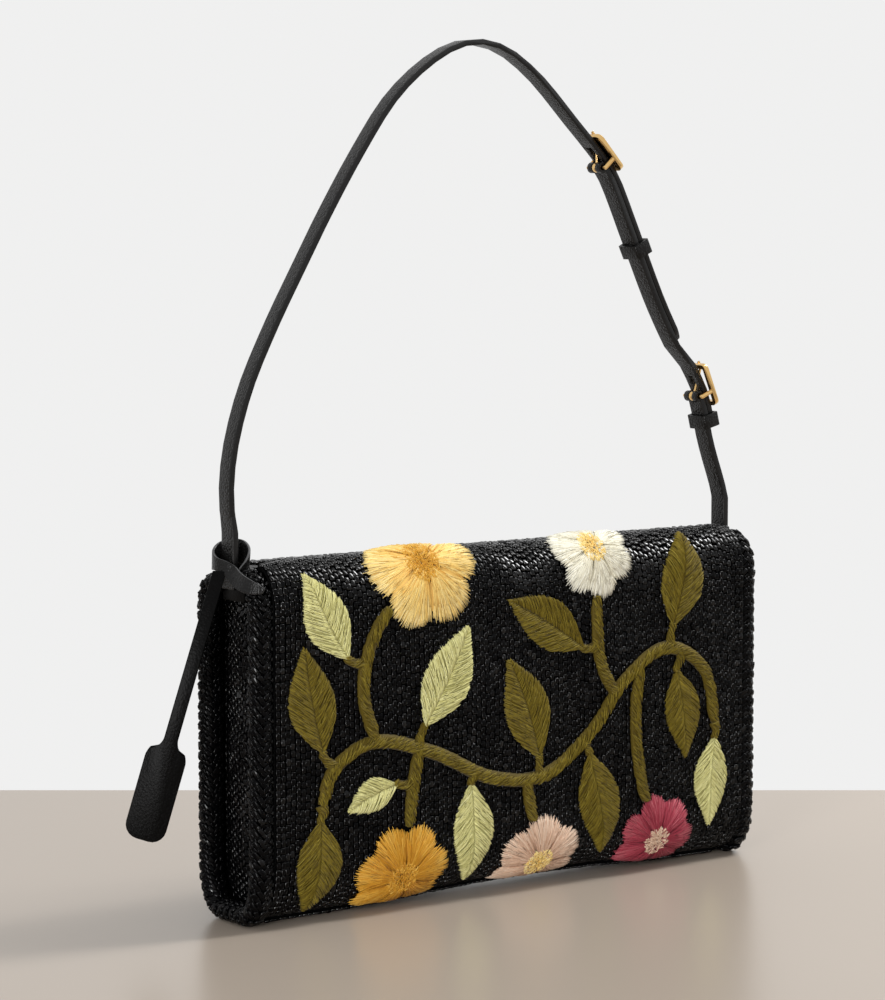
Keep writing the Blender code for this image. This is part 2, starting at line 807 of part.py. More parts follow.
def make_prong(name, share):
    world = CURVE.side_frame(share) @ Matrix.Translation((0, -BAR_DEPTH, 0))
    outer = FOLD_INNER + PRONG_EYE_WALL
    ring = [arc((0, 0), (r, r), 0, 360, 16)[:-1] for r in (outer, FOLD_INNER)]
    width = PRONG_SLOT_WIDTH - 2 * CLEARANCE
    prong = flat_outline(name, ring, width, world, GOLD)
    aim = prong_aim()
    reach = math.hypot(*aim)
    unit = (aim[0] / reach, aim[1] / reach)
    root = (FOLD_INNER + outer) / 2
    shank = [
        (unit[0] * root, unit[1] * root, 0),
        (aim[0], aim[1], 0),
        (aim[0] - 1.6 * FRAME_BAR, aim[1], 0),
    ]
    rod = tube(name + "_shank", shank, PRONG_RADIUS, world=world, sides=1)
    boolean(prong, rod, "UNION")


def make_keeper(name, share):
    """A leather loop round both layers of the strap."""
    gap = KEEPER_GAP
    inner_half = STRAP_WIDTH / 2 + gap
    top = STRAP_WALL / 2 + gap
    foot = -STRAP_WALL / 2 - LAYER_STEP - gap
    middle = (top + foot) / 2
    inner_rise = (top - foot) / 2
    loops = [
        rounded_loop(inner_half + KEEPER_WALL, inner_rise + KEEPER_WALL, KEEPER_WALL),
        rounded_loop(inner_half, inner_rise, gap),
    ]
    turn = Matrix(((0, 0, 1), (1, 0, 0), (0, 1, 0))).to_4x4()
    world = CURVE.frame(share) @ Matrix.Translation((0, 0, middle)) @ turn
    flat_outline(name, loops, KEEPER_LENGTH, world, LEATHER)


def make_straps():
    start = round_end_stations(0.0, 1)
    widths = {share: width for share, width in start}

    def long_width(share):
        return widths.get(share, tip_width(share, LONG_TIP_SHARE))

    blunt = [LONG_TIP_SHARE - TIP_LENGTH * k / CURVE.length for k in (1.0, 0.6, 0.25, 0.05)]
    stations = [share for share, _ in start]
    stations += spaced(0.0, blunt[0], STATION_STEP)[1:] + blunt[1:]
    long_strap = strap_layer("long_strap", stations, lambda share: 0.0, long_width)
    cut_prong_slot(long_strap, UPPER_BUCKLE_SHARE, "upper_prong_slot")

    fold_start = FOLD_INNER * 1.35 / CURVE.length

    def middle_depth(share):
        span = LOWER_BUCKLE_SHARE - FRAME_LENGTH * 0.7 / CURVE.length - LONG_TIP_SHARE
        return -LAYER_STEP * (1 - ease((share - LONG_TIP_SHARE) / span))

    blunt = [MIDDLE_TIP_SHARE - TIP_LENGTH * k / CURVE.length for k in (1.0, 0.6, 0.25, 0.05)]
    stations = spaced(UPPER_BUCKLE_SHARE + fold_start, blunt[0], STATION_STEP * 0.7)
    stations += blunt[1:]
    middle_strap = strap_layer(
        "middle_strap",
        stations,
        middle_depth,
        lambda share: tip_width(share, MIDDLE_TIP_SHARE),
    )
    make_fold(middle_strap, UPPER_BUCKLE_SHARE, "middle_strap")
    cut_prong_slot(middle_strap, LOWER_BUCKLE_SHARE, "lower_prong_slot")

    end = round_end_stations(1.0, -1)
    widths_at_end = {share: width for share, width in end}

    def short_depth(share):
        from_tip = (share - MIDDLE_TIP_SHARE) / (1.0 - MIDDLE_TIP_SHARE)
        return -LAYER_STEP * (1 - ease(from_tip))

    stations = spaced(LOWER_BUCKLE_SHARE + fold_start, 1.0, STATION_STEP * 0.7)[:-1]
    stations += [share for share, _ in end][::-1]
    short_strap = strap_layer(
        "short_strap",
        stations,
        short_depth,
        lambda share: widths_at_end.get(share, STRAP_WIDTH / 2),
    )
    make_fold(short_strap, LOWER_BUCKLE_SHARE, "short_strap")


def strip_outline(path, wall):
    """The outline of a strip of this thickness along a path of flat points."""
    p = np.array(path, float)
    step = np.gradient(p, axis=0)
    step /= np.linalg.norm(step, axis=1)[:, None]
    across = np.stack([-step[:, 1], step[:, 0]], 1) * wall / 2
    left, right = p + across, p - across
    return [tuple(v) for v in left] + [tuple(v) for v in right[::-1]]


def make_tab(name, side):
    """A leather tab over the zip's end and down the outside of the gusset."""
    half = TAB_WALL / 2
    outer = TAB_X - half
    low = TAPE_TOP + CLEARANCE + half
    high = TAB_TOP - half
    path = [(TAB_INNER_X, low), (TAB_STEP_X, low), (PANEL_HALF + CLEARANCE, high)]
    path += arc((outer - TAB_BEND, high - TAB_BEND), (TAB_BEND, TAB_BEND), 90, 0, 4)
    path += [(outer, BAG_HEIGHT - TAB_DROP)]
    path = [(side * x, z) for x, z in path]
    flat_outline(name, [strip_outline(path, TAB_WALL)], TAB_WIDTH, ALONG_Y, LEATHER)


def make_anchor(name, side):
    """The strap's sewn end on the tab, up to where the strap starts to bend."""
    top = PIVOT_Z - STRAP_WIDTH / 2 - CLEARANCE
    foot = BAG_HEIGHT - ANCHOR_DROP
    wall = STRAP_WALL / 2
    middle = side * STRAP_SPREAD
    made = block(
        name,
        (middle - wall, -STRAP_WIDTH / 2, foot),
        (middle + wall, STRAP_WIDTH / 2, top),
        LEATHER,
    )
    soften(made, STRAP_WALL / 6)


def make_knot():
    """The thong's loop, drawn tight round the foot of the strap."""
    inner_x = STRAP_WALL / 2 + CLEARANCE
    inner_y = STRAP_WIDTH / 2 + CLEARANCE
    loops = [
        rounded_loop(inner_x + KNOT_WALL, inner_y + KNOT_WALL, KNOT_WALL),
        rounded_loop(inner_x, inner_y, CLEARANCE),
    ]
    foot = TAB_TOP + CLEARANCE
    seat = Matrix.Translation((-STRAP_SPREAD, 0, (foot + KNOT_TOP) / 2))
    made = flat_outline("tag_knot", loops, KNOT_TOP - foot, seat, LEATHER)
    soften(made, KNOT_WALL / 4)


TAG_PIVOT = (
    -STRAP_SPREAD - STRAP_WALL / 2 - KNOT_WALL - 2 * CLEARANCE - THONG_WIDTH / 2,
    -STRAP_WIDTH * 0.45,
    TAB_TOP + CLEARANCE + TAG_WALL,
)


def make_tag():
    """A thong and its tag, cut in one and hanging beside the gusset."""
    half = THONG_WIDTH / 2
    wide = TAG_WIDTH / 2
    spine = []
    place = np.array([0.0, 0.0])
    lean = TAG_LEAN + TAG_SWEEP / 2
    marks = np.linspace(0, 1, 9)
    total = THONG_LENGTH + TAG_LENGTH
    for a, b in zip(marks, marks[1:]):
        spine.append((place.copy(), lean - TAG_SWEEP * a))
        turn = lean - TAG_SWEEP * (a + b) / 2
        place += np.array([-math.sin(turn), -math.cos(turn)]) * total * (b - a)
    spine.append((place.copy(), lean - TAG_SWEEP))

    def beside(distance, across):
        share = distance / total
        x = np.interp(share, marks, [p[0] for p, _ in spine])
        y = np.interp(share, marks, [p[1] for p, _ in spine])
        turn = np.interp(share, marks, [t for _, t in spine])
        return (x + across * math.cos(turn), y - across * math.sin(turn))

    edge = [(0.0, half)] + [(THONG_LENGTH * k / 4, half) for k in (1, 2, 3)]
    edge += [(THONG_LENGTH - TAG_SHOULDER / 2, half)]
    edge += [(THONG_LENGTH + TAG_SHOULDER, wide)]
    for back, across in arc((total - TAG_CORNER, wide - TAG_CORNER), (TAG_CORNER,) * 2, 90, 0, 5):
        edge.append((back, across))
    right = [beside(distance, across) for distance, across in edge]
    left = [beside(distance, -across) for distance, across in edge]
    c, s = math.cos(TAG_FACING), math.sin(TAG_FACING)
    turn = Matrix(((c, 0, -s), (-s, 0, -c), (0, 1, 0))).to_4x4()
    world = Matrix.Translation(TAG_PIVOT) @ turn
    outline = right + left[::-1]
    made = flat_outline("leather_tag", [outline], TAG_WALL, world, LEATHER)
    soften(made, TAG_WALL / 5)


CLOTH_STEPS = 12


class FrontCloth:
    """Lays flat embroidery on the front: v is height on the face, and follows the
    rounded top and bottom by length. It swells with the cloth under it."""

    def __init__(self):
        profile = front_profile(0.0)
        fine = []
        for a, b in zip(profile, profile[1:]):
            for t in np.linspace(0, 1, CLOTH_STEPS, endpoint=False):
                fine.append((a[0] + (b[0] - a[0]) * t, a[1] + (b[1] - a[1]) * t))
        fine.append(profile[-1])
        self.points = np.array(fine)
        steps = np.linalg.norm(np.diff(self.points, axis=0), axis=1)
        along = np.concatenate([[0], np.cumsum(steps)])
        start = np.interp(FACE_FOOT, self.points[:, 1], along)
        self.along = along - start + FACE_FOOT
        tangent = np.gradient(self.points, axis=0)
        tangent /= np.linalg.norm(tangent, axis=1)[:, None]
        self.normal = np.stack([-tangent[:, 1], tangent[:, 0]], 1)

    def place(self, x, v, rise):
        y, z = (np.interp(v, self.along, self.points[:, k]) for k in (0, 1))
        ny, nz = (np.interp(v, self.along, self.normal[:, k]) for k in (0, 1))
        scale = (THREAD_GAP + rise) / math.hypot(ny, nz)
        return swelled(x, y + ny * scale, z + nz * scale)


CLOTH_FRONT = FrontCloth()


def raised_patch(name, centre, outline, rise, finish):
    """Padded stitching inside a star-shaped outline, domed towards its centre."""
    low = min(v for _, v in outline)
    high = max(v for _, v in outline)
    bent = low < FACE_FOOT or high > FACE_TOP
    shares = (1.0, 0.8, 0.6, 0.4, 0.2) if bent else (1.0, 0.65)
    foot_shares = shares if bent else (1.0,)
    mesh = bpy.data.meshes.new(name)
    work = bmesh.new()
    count = len(outline)

    def ring(share, height):
        return [
            work.verts.new(
                CLOTH_FRONT.place(
                    centre[0] + (x - centre[0]) * share,
                    centre[1] + (v - centre[1]) * share,
                    height,
                )
            )
            for x, v in outline
        ]

    top = [ring(share, rise * (1 - 0.55 * share**3)) for share in shares]
    foot = [ring(share, 0.0) for share in foot_shares]
    for rings, height in ((top, rise), (foot, 0.0)):
        middle = work.verts.new(CLOTH_FRONT.place(*centre, height))
        for i in range(count):
            j = (i + 1) % count
            for a, b in zip(rings, rings[1:]):
                work.faces.new((a[i], a[j], b[j], b[i]))
            work.faces.new((rings[-1][i], rings[-1][j], middle))
    for i in range(count):
        j = (i + 1) % count
        work.faces.new((top[0][j], top[0][i], foot[0][i], foot[0][j]))
    bmesh.ops.recalc_face_normals(work, faces=work.faces)
    work.to_mesh(mesh)
    work.free()
    made = add_object(name, mesh, finish)
    smooth(made)


def on_face(x_share, v_share):
    return (x_share * PANEL_HALF, v_share * BAG_HEIGHT)


def make_flower(name, place_shares, radius_share, petals, turn, finish):
    centre = on_face(*place_shares)
    radius = radius_share * BAG_HEIGHT
    outline = []
    count = petals * 6
    for i in range(count):
        a = 2 * math.pi * i / count
        lobe = 0.80 + 0.20 * abs(math.cos(petals * a / 2)) ** 0.7
        outline.append(
            (
                centre[0] + radius * lobe * math.cos(a + turn),
                centre[1] + radius * lobe * math.sin(a + turn),
            )
        )
    raised_patch(name, centre, outline, THREAD_RISE, finish)


LEAF_BREADTH_SHARES = (0.0, 0.30, 0.62, 0.88, 1.0, 0.94, 0.72, 0.42, 0.16, 0.0)


def make_leaf(name, base_shares, tip_shares, width_share, finish):
    """A pointed leaf from its stalk to its tip, broadest a little below the middle."""
    base, tip = on_face(*base_shares), on_face(*tip_shares)
    dx, dv = tip[0] - base[0], tip[1] - base[1]
    length = math.hypot(dx, dv)
    ux, uv = dx / length, dv / length
    half = width_share * BAG_HEIGHT / 2
    last = len(LEAF_BREADTH_SHARES) - 1
    sides = []
    for side in (1, -1):
        sides.append(
            [
                (
                    base[0] + dx * k / last - uv * side * half * share,
                    base[1] + dv * k / last + ux * side * half * share,
                )
                for k, share in enumerate(LEAF_BREADTH_SHARES)
            ]
        )
    outline = sides[0] + sides[1][-2:0:-1]
    centre = ((base[0] + tip[0]) / 2, (base[1] + tip[1]) / 2)
    raised_patch(name, centre, outline, THREAD_RISE, finish)


def make_stem(name, path_shares, trim_start, flower=None):
    """A rounded cord of satin stitch along a smooth path, which stops at its flower."""
    path = catmull([on_face(*share) for share in path_shares], 12)
    steps = np.linalg.norm(np.diff(path, axis=0), axis=1)
    along = np.concatenate([[0], np.cumsum(steps)])
    end = along[-1]
    if flower:
        _, place_shares, radius_share = flower[:3]
        apart = np.linalg.norm(path - np.array(on_face(*place_shares)), axis=1)
        stop = radius_share * BAG_HEIGHT + STEM_WIDTH / 4
        end = along[apart > stop][-1]
    stations = np.linspace(trim_start, end, max(4, int((end - trim_start) / STEM_STEP)))
    path = np.stack([np.interp(stations, along, path[:, k]) for k in (0, 1)], 1)
    heading = np.gradient(path, axis=0)
    heading /= np.linalg.norm(heading, axis=1)[:, None]
    mesh = bpy.data.meshes.new(name)
    work = bmesh.new()
    sections = []
    half = STEM_WIDTH / 2
    for (x, v), (hx, hv) in zip(path, heading):
        ring = []
        for across, rise in ((-1, 0.0), (-0.72, 0.75), (0, 1.0), (0.72, 0.75), (1, 0.0)):
            place = (x - hv * across * half, v + hx * across * half)
            ring.append(work.verts.new(CLOTH_FRONT.place(*place, rise * STEM_RISE)))
        sections.append(ring)
    size = len(sections[0])
    for ring, beyond in zip(sections, sections[1:]):
        for i in range(size):
            j = (i + 1) % size
            work.faces.new((ring[i], ring[j], beyond[j], beyond[i]))
    work.faces.new(sections[0][::-1])
    work.faces.new(sections[-1])
    bmesh.ops.recalc_face_normals(work, faces=work.faces)
    work.to_mesh(mesh)
    work.free()
    made = add_object(name, mesh, OLIVE)
    smooth(made)


# Flowers: place, radius, petals, first petal's turn and thread
FLOWER_SHARES = (
    ("flower_ochre", (-0.510, 0.090), 0.158, 7, 0.2, OCHRE),
    ("flower_blush", (0.085, 0.060), 0.150, 6, 0.5, BLUSH),
    ("flower_crimson", (0.620, 0.085), 0.140, 7, 0.9, ROSE),
    ("flower_yellow", (-0.415, 0.975), 0.185, 6, 0.1, YELLOW),
    ("flower_ivory", (0.330, 0.975), 0.145, 7, 0.4, IVORY),
)

# Leaves: stalk, tip, breadth and thread
LEAF_SHARES = (
    ("leaf_1", (-0.840, 0.470), (-0.915, 0.775), 0.150, OLIVE),
    ("leaf_2", (-0.430, 0.515), (-0.240, 0.795), 0.160, PALE_GREEN),
    ("leaf_3", (-0.235, 0.345), (-0.215, 0.020), 0.140, PALE_GREEN),
    ("leaf_4", (0.065, 0.385), (-0.075, 0.690), 0.160, OLIVE),
    ("leaf_5", (0.292, 0.385), (0.380, 0.050), 0.150, OLIVE),
    ("leaf_6", (0.680, 0.725), (0.760, 1.010), 0.160, OLIVE),
    ("leaf_7", (-0.740, 0.725), (-0.900, 0.975), 0.140, PALE_GREEN),
    ("leaf_8", (0.262, 0.690), (-0.070, 0.850), 0.145, OLIVE),
    ("leaf_9", (-0.850, 0.290), (-0.880, 0.010), 0.150, OLIVE),
    ("leaf_10", (0.885, 0.385), (0.868, 0.105), 0.130, PALE_GREEN),
    ("leaf_11", (0.700, 0.600), (0.745, 0.325), 0.135, OLIVE),
    ("leaf_12", (-0.545, 0.365), (-0.745, 0.300), 0.095, PALE_GREEN),
)

# Stems: path, and how far short of each end of it the stitching stops
MAIN_STEM_SHARES = (
    (-0.845, 0.330),
    (-0.790, 0.430),
    (-0.630, 0.490),
    (-0.390, 0.440),
    (-0.150, 0.350),
    (0.090, 0.335),
    (0.295, 0.440),
    (0.450, 0.580),
    (0.650, 0.665),
    (0.830, 0.590),
    (0.885, 0.425),
)
BRANCH_SHARES = (
    ("stem_ochre", ((-0.450, 0.455), (-0.480, 0.340), (-0.510, 0.090))),
    ("stem_blush", ((0.010, 0.330), (0.030, 0.240), (0.085, 0.060))),
    ("stem_crimson", ((0.530, 0.625), (0.505, 0.480), (0.530, 0.290), (0.620, 0.085))),
    ("stem_yellow", ((-0.630, 0.490), (-0.680, 0.640), (-0.620, 0.800), (-0.415, 0.975))),
    ("stem_ivory", ((0.410, 0.540), (0.330, 0.680), (0.330, 0.975))),
)


def make_embroidery():
    for flower in FLOWER_SHARES:
        make_flower(*flower)
    for leaf in LEAF_SHARES:
        make_leaf(*leaf)
    make_stem("main_stem", MAIN_STEM_SHARES, 0.0)
    for (name, path_shares), flower in zip(BRANCH_SHARES, FLOWER_SHARES):
        make_stem(name, path_shares, BRANCH_TRIM_SHARE * STEM_WIDTH, flower)


def main():
    make_body()
    for side, end in ((-1, "left"), (1, "right")):
        make_roll("edge_roll_" + end, side)
        make_gusset("gusset_" + end, side)
        make_zip_end("zip_end_" + end, side)
        make_tab("end_tab_" + end, side)
        make_anchor("strap_anchor_" + end, side)
    make_lining()
    make_zip_half("front", -1)
    make_zip_half("back", 1)
    make_puller(*make_slider())
    make_straps()
    for end, buckle, keeper in (
        ("upper", UPPER_BUCKLE_SHARE, UPPER_KEEPER_SHARE),
        ("lower", LOWER_BUCKLE_SHARE, LOWER_KEEPER_SHARE),
    ):
        make_buckle(end + "_buckle_frame", buckle)
        make_prong(end + "_buckle_prong", buckle)
        make_keeper(end + "_keeper", keeper)
    make_knot()
    make_tag()
    make_embroidery()


main()
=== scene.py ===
# A black beaded shoulder bag with stitched flowers, a buckled leather strap and a tag.
# Metres, +Z up. The bag stands along X, with its stitched front towards -Y.
import math

import bmesh
import bpy
import numpy as np
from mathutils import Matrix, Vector


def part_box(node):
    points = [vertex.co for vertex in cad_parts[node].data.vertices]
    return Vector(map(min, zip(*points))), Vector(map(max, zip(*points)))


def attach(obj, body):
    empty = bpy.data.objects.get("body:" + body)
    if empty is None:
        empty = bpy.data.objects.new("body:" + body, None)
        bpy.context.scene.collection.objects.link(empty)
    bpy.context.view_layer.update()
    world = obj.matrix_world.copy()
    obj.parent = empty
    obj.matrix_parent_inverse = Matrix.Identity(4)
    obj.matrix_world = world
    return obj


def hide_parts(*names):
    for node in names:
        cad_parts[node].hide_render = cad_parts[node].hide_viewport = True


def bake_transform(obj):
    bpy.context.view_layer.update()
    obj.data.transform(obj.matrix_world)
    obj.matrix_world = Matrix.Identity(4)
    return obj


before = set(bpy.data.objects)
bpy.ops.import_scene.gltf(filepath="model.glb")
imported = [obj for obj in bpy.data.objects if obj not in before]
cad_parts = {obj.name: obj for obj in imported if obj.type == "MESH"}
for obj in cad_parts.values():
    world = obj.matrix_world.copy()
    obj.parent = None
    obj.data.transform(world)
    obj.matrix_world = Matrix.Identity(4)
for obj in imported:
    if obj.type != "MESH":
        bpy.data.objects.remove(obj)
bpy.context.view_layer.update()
bpy.ops.object.select_all(action="DESELECT")

# The camera: a long lens a little above the table, off to the bag's left front.
# The picture is 885 by 1000, so the film's long side stands upright.
VIEW_TURN = math.radians(-36.17)
camera = bpy.data.objects.new("camera", bpy.data.cameras.new("camera"))
camera.data.lens = 114.9
camera.location = (-0.8257, -1.0957, 0.2970)
camera.rotation_euler = (math.radians(84.62), 0.0, VIEW_TURN)
bpy.context.scene.collection.objects.link(camera)
bpy.context.scene.camera = camera
bpy.context.scene.view_settings.view_transform = "Standard"


# The table: a smooth taupe top whose far edge lies close behind the bag, with the pale
# room behind it. It is a slab with a small round along its edges.
TABLE_REACH = 0.222
TABLE_SIDE = 3.0
TABLE_WALL = 0.030
TABLE_EDGE = 0.003


def fresh_material(name):
    """A new material and its shader, its nodes and its links."""
    made = bpy.data.materials.new(name)
    made.use_nodes = True
    nodes = made.node_tree.nodes
    return made, nodes["Principled BSDF"], nodes, made.node_tree.links


def add_node(nodes, kind, **values):
    """A node with these values on its inputs, whose names have spaces for underscores."""
    made = nodes.new("ShaderNode" + kind)
    for socket, value in values.items():
        made.inputs[socket.replace("_", " ")].default_value = value
    return made


def tint_ramp(nodes, *tints):
    """A ramp from the first tint to the last, through one in the middle if three."""
    made = nodes.new("ShaderNodeValToRGB")
    stops = made.color_ramp.elements
    stops[0].color = (*tints[0], 1)
    stops[1].color = (*tints[-1], 1)
    for tint in tints[1:-1]:
        stops.new(0.5).color = (*tint, 1)
    return made


def wire(links, *joins):
    """Makes each join, from a node's output to a node's input."""
    for start, output, end, socket in joins:
        links.new(start.outputs[output], end.inputs[socket])


def start_from(primitive, **sizes):
    """A new primitive, selected by itself."""
    bpy.ops.object.select_all(action="DESELECT")
    primitive(**sizes)
    return bpy.context.object


def pick(piece):
    """Makes this the only selected piece, and the active one."""
    bpy.ops.object.select_all(action="DESELECT")
    piece.select_set(True)
    bpy.context.view_layer.objects.active = piece


def settle_in_place(piece):
    """Moves the piece's place, turn and scale into its mesh."""
    pick(piece)
    bpy.ops.object.transform_apply(location=True, rotation=True, scale=True)


def apply_modifiers(piece):
    pick(piece)
    for step in list(piece.modifiers):
        bpy.ops.object.modifier_apply(modifier=step.name)


def round_edges(piece, width, segments=2, angle=30):
    """Rounds the edges where the piece turns by more than this angle."""
    soft = piece.modifiers.new("edges", "BEVEL")
    soft.width = width
    soft.segments = segments
    soft.limit_method = "ANGLE"
    soft.angle_limit = math.radians(angle)
    apply_modifiers(piece)


def table_finish():
    made, shader, nodes, links = fresh_material("taupe_table")
    place = add_node(nodes, "TexCoord")
    cloudy = add_node(nodes, "TexNoise", Scale=2.5, Detail=3.0)
    tint = tint_ramp(nodes, (0.380, 0.321, 0.264), (0.405, 0.344, 0.286))
    wire(
        links,
        (place, "Object", cloudy, "Vector"),
        (cloudy, "Fac", tint, "Fac"),
        (tint, "Color", shader, "Base Color"),
    )
    shader.inputs["Roughness"].default_value = 0.30
    shader.inputs["Specular IOR Level"].default_value = 0.50
    return made


table = start_from(bpy.ops.mesh.primitive_cube_add, size=1.0)
table.name = "table"
table.scale = (2 * TABLE_SIDE, TABLE_SIDE, TABLE_WALL)
settle_in_place(table)
table.rotation_euler = (0, 0, VIEW_TURN)
away = Vector((-math.sin(VIEW_TURN), math.cos(VIEW_TURN), 0))
table.location = away * (TABLE_REACH - TABLE_SIDE / 2) - Vector((0, 0, TABLE_WALL / 2))
settle_in_place(table)
round_edges(table, TABLE_EDGE, 3)
table.data.materials.append(table_finish())


# The light: a pale room all round, a long lamp overhead on the right with a small bright
# one in it, which the beads along the crest mirror, and an upright one left of the camera
# for the stitching. The room is seen plain, and lights the bag at a lower level.
ROOM = (0.871, 0.871, 0.868)
ROOM_LIGHT = 0.58
LAMP_AIM = (0, 0, 0.1)
# Each lamp's place, breadth, height and power in watts.
LAMPS = {
    "overhead_lamp": ((0.85, -0.20, 1.15), 0.35, 1.10, 9.0),
    "crest_lamp": ((0.82, -0.20, 1.10), 0.20, 0.55, 8.0),
    "camera_lamp": ((-1.38, -0.95, 0.34), 0.40, 0.80, 17.0),
}

world = bpy.data.worlds.new("room")
bpy.context.scene.world = world
world.use_nodes = True
room_nodes, room_links = world.node_tree.nodes, world.node_tree.links
seen = room_nodes["Background"]
seen.inputs["Color"].default_value = (*ROOM, 1)
lit = add_node(room_nodes, "Background", Color=(1, 1, 1, 1), Strength=ROOM_LIGHT)
ray = add_node(room_nodes, "LightPath")
camera_or_gloss = add_node(room_nodes, "Math")
camera_or_gloss.operation = "MAXIMUM"
or_glass = add_node(room_nodes, "Math")
or_glass.operation = "MAXIMUM"
room_mix = add_node(room_nodes, "MixShader")
wire(
    room_links,
    (ray, "Is Camera Ray", camera_or_gloss, 0),
    (ray, "Is Glossy Ray", camera_or_gloss, 1),
    (camera_or_gloss, 0, or_glass, 0),
    (ray, "Is Transmission Ray", or_glass, 1),
    (or_glass, 0, room_mix, "Fac"),
    (lit, 0, room_mix, 1),
    (seen, 0, room_mix, 2),
    (room_mix, 0, room_nodes["World Output"], "Surface"),
)
for name, (place, breadth, height, power) in LAMPS.items():
    lamp = bpy.data.objects.new(name, bpy.data.lights.new(name, "AREA"))
    lamp.data.shape = "RECTANGLE"
    lamp.data.size = breadth
    lamp.data.size_y = height
    lamp.data.energy = power
    lamp.location = place
    aim = Vector(LAMP_AIM) - Vector(place)
    lamp.rotation_euler = aim.to_track_quat("-Z", "Y").to_euler()
    bpy.context.scene.collection.objects.link(lamp)


# The filled bag's outer shape. The front and back are cloth sewn with beads, rounded
# over at the crest and the base, and they swell and sag a little between the ends.
HALF_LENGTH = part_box("front_panel")[1].x
CLOTH_HALF = HALF_LENGTH + 0.0030
HALF_DEPTH = 0.024
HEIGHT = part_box("front_panel")[1].z
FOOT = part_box("front_panel")[0].z
FOLD_DEPTH = 0.009
FOOT_ROUND = 0.024
CREST_DEPTH = 0.0107
CREST_ROUND = 0.020
LIP_DEPTH = 0.0097
LIP_FOOT = 0.1452
SWELL = 0.0023
SWELL_EVEN, SWELL_VARIES = 0.8, 0.2
RIPPLE = 0.00034
LIP_HALF = 0.008
SHOULDER_DEPTH = 0.014
# How far the crest rises at shares of the half length, and over which stretch of height.
CREST_LINE = (
    (-1.0, 0.0), (-0.9, 0.0004), (-0.5, 0.0008), (0.0, 0.0005), (0.4, 0.0009), (0.62, 0.0012),
    (0.72, 0.0014), (0.82, 0.0011), (0.90, 0.0016), (0.96, 0.0015), (1.01, 0.0004),
)
CREST_FROM, CREST_OVER = 0.120, 0.026
BACK_DROP = 0.0028
BACK_DROP_FROM, BACK_DROP_OVER = 0.1456, 0.0044
FOOT_LIFT = 0.0030
FOOT_LIFT_HEIGHT, FOOT_LIFT_MIDDLE, FOOT_LIFT_SPREAD = 0.045, 0.015, 0.075
MIDDLE_SHARP = 2.4


def ease(t):
    t = np.clip(t, 0.0, 1.0)
    return t * t * (3 - 2 * t)


def settle(points):
    """Where points of the cut shape come to rest on the filled bag."""
    x, y, z = np.moveaxis(np.asarray(points, float), -1, 0)
    middle = 1 - np.clip(np.abs(x) / HALF_LENGTH, 0, 1) ** MIDDLE_SHARP
    outside = ease((np.abs(y) - LIP_HALF) / SHOULDER_DEPTH)
    height = np.clip(z / HEIGHT, 0, 1)
    swell = SWELL * np.sin(math.pi * height) * (SWELL_EVEN + SWELL_VARIES * np.cos(x * 31 + 0.6))
    waves = np.sin(x * 92 + z * 37 + 0.4) + 0.7 * np.sin(x * 47 - z * 85 + 2.1)
    out = middle * outside * (swell + RIPPLE * waves)
    crest = np.interp(x / HALF_LENGTH, *np.transpose(CREST_LINE))
    bow = np.where(y < 0, crest * ease((z - CREST_FROM) / CREST_OVER), 0)
    drop = BACK_DROP * ease((z - BACK_DROP_FROM) / BACK_DROP_OVER) * (y > 0)
    lift = FOOT_LIFT * ease(1 - z / FOOT_LIFT_HEIGHT)
    lift = lift * np.exp(-(((x - FOOT_LIFT_MIDDLE) / FOOT_LIFT_SPREAD) ** 2))
    tall = middle * lift + bow - drop
    return np.stack([x, y + np.sign(y) * out, z + tall], -1)


def unit(vectors):
    return vectors / np.linalg.norm(vectors, axis=-1, keepdims=True)


def lengths_along(path):
    """How far along the path each of its points lies."""
    steps = np.linalg.norm(np.diff(path, axis=0), axis=1)
    return np.concatenate([[0], np.cumsum(steps)])


def quarter(centre, radii, start, end, steps):
    """A quarter of an oval, between two angles in degrees."""
    turns = np.radians(np.linspace(start, end, steps))
    across = centre[0] + radii[0] * np.cos(turns)
    return np.stack([across, centre[1] + radii[1] * np.sin(turns)], 1)


def cloth_run():
    """The front in side view, base to crest to lip, as depth and height."""
    foot_centre = (FOLD_DEPTH, FOOT + FOOT_ROUND)
    crest_centre = (CREST_DEPTH, HEIGHT - CREST_ROUND)
    lip_round = CREST_DEPTH - LIP_DEPTH
    lower = quarter(foot_centre, (HALF_DEPTH - FOLD_DEPTH, FOOT_ROUND), -90, 0, 24)
    upper = quarter(crest_centre, (HALF_DEPTH - CREST_DEPTH, CREST_ROUND), 0, 90, 24)
    turned = (CREST_DEPTH, HEIGHT - lip_round)
    lip = quarter(turned, (lip_round, lip_round), 90, 180, 6)[1:]
    return np.concatenate([lower, upper, lip, [(LIP_DEPTH, LIP_FOOT)]])


run = cloth_run()
run_length = lengths_along(run)
run_length += FOOT + FOOT_ROUND - np.interp(FOOT + FOOT_ROUND, run[:, 1], run_length)
run_heading = unit(np.gradient(run, axis=0))
run_turn = np.degrees(np.arctan2(-run_heading[:, 0], run_heading[:, 1]))
RUN_START, RUN_END = run_length[0], run_length[-1]
PROBE = 0.0005


def on_cloth(x, v, rise, side=-1):
    """Places on the front (side -1) or back (1): x along the bag, v up the cloth."""
    x, v, rise = np.broadcast_arrays(x, v, rise)
    depth, z = (np.interp(v, run_length, run[:, k]) for k in (0, 1))
    up_y, up_z = (np.interp(v, run_length, run_heading[:, k]) for k in (0, 1))
    flat = np.stack([x, side * (depth + rise * up_z), z - rise * up_y], -1)
    return settle(flat)


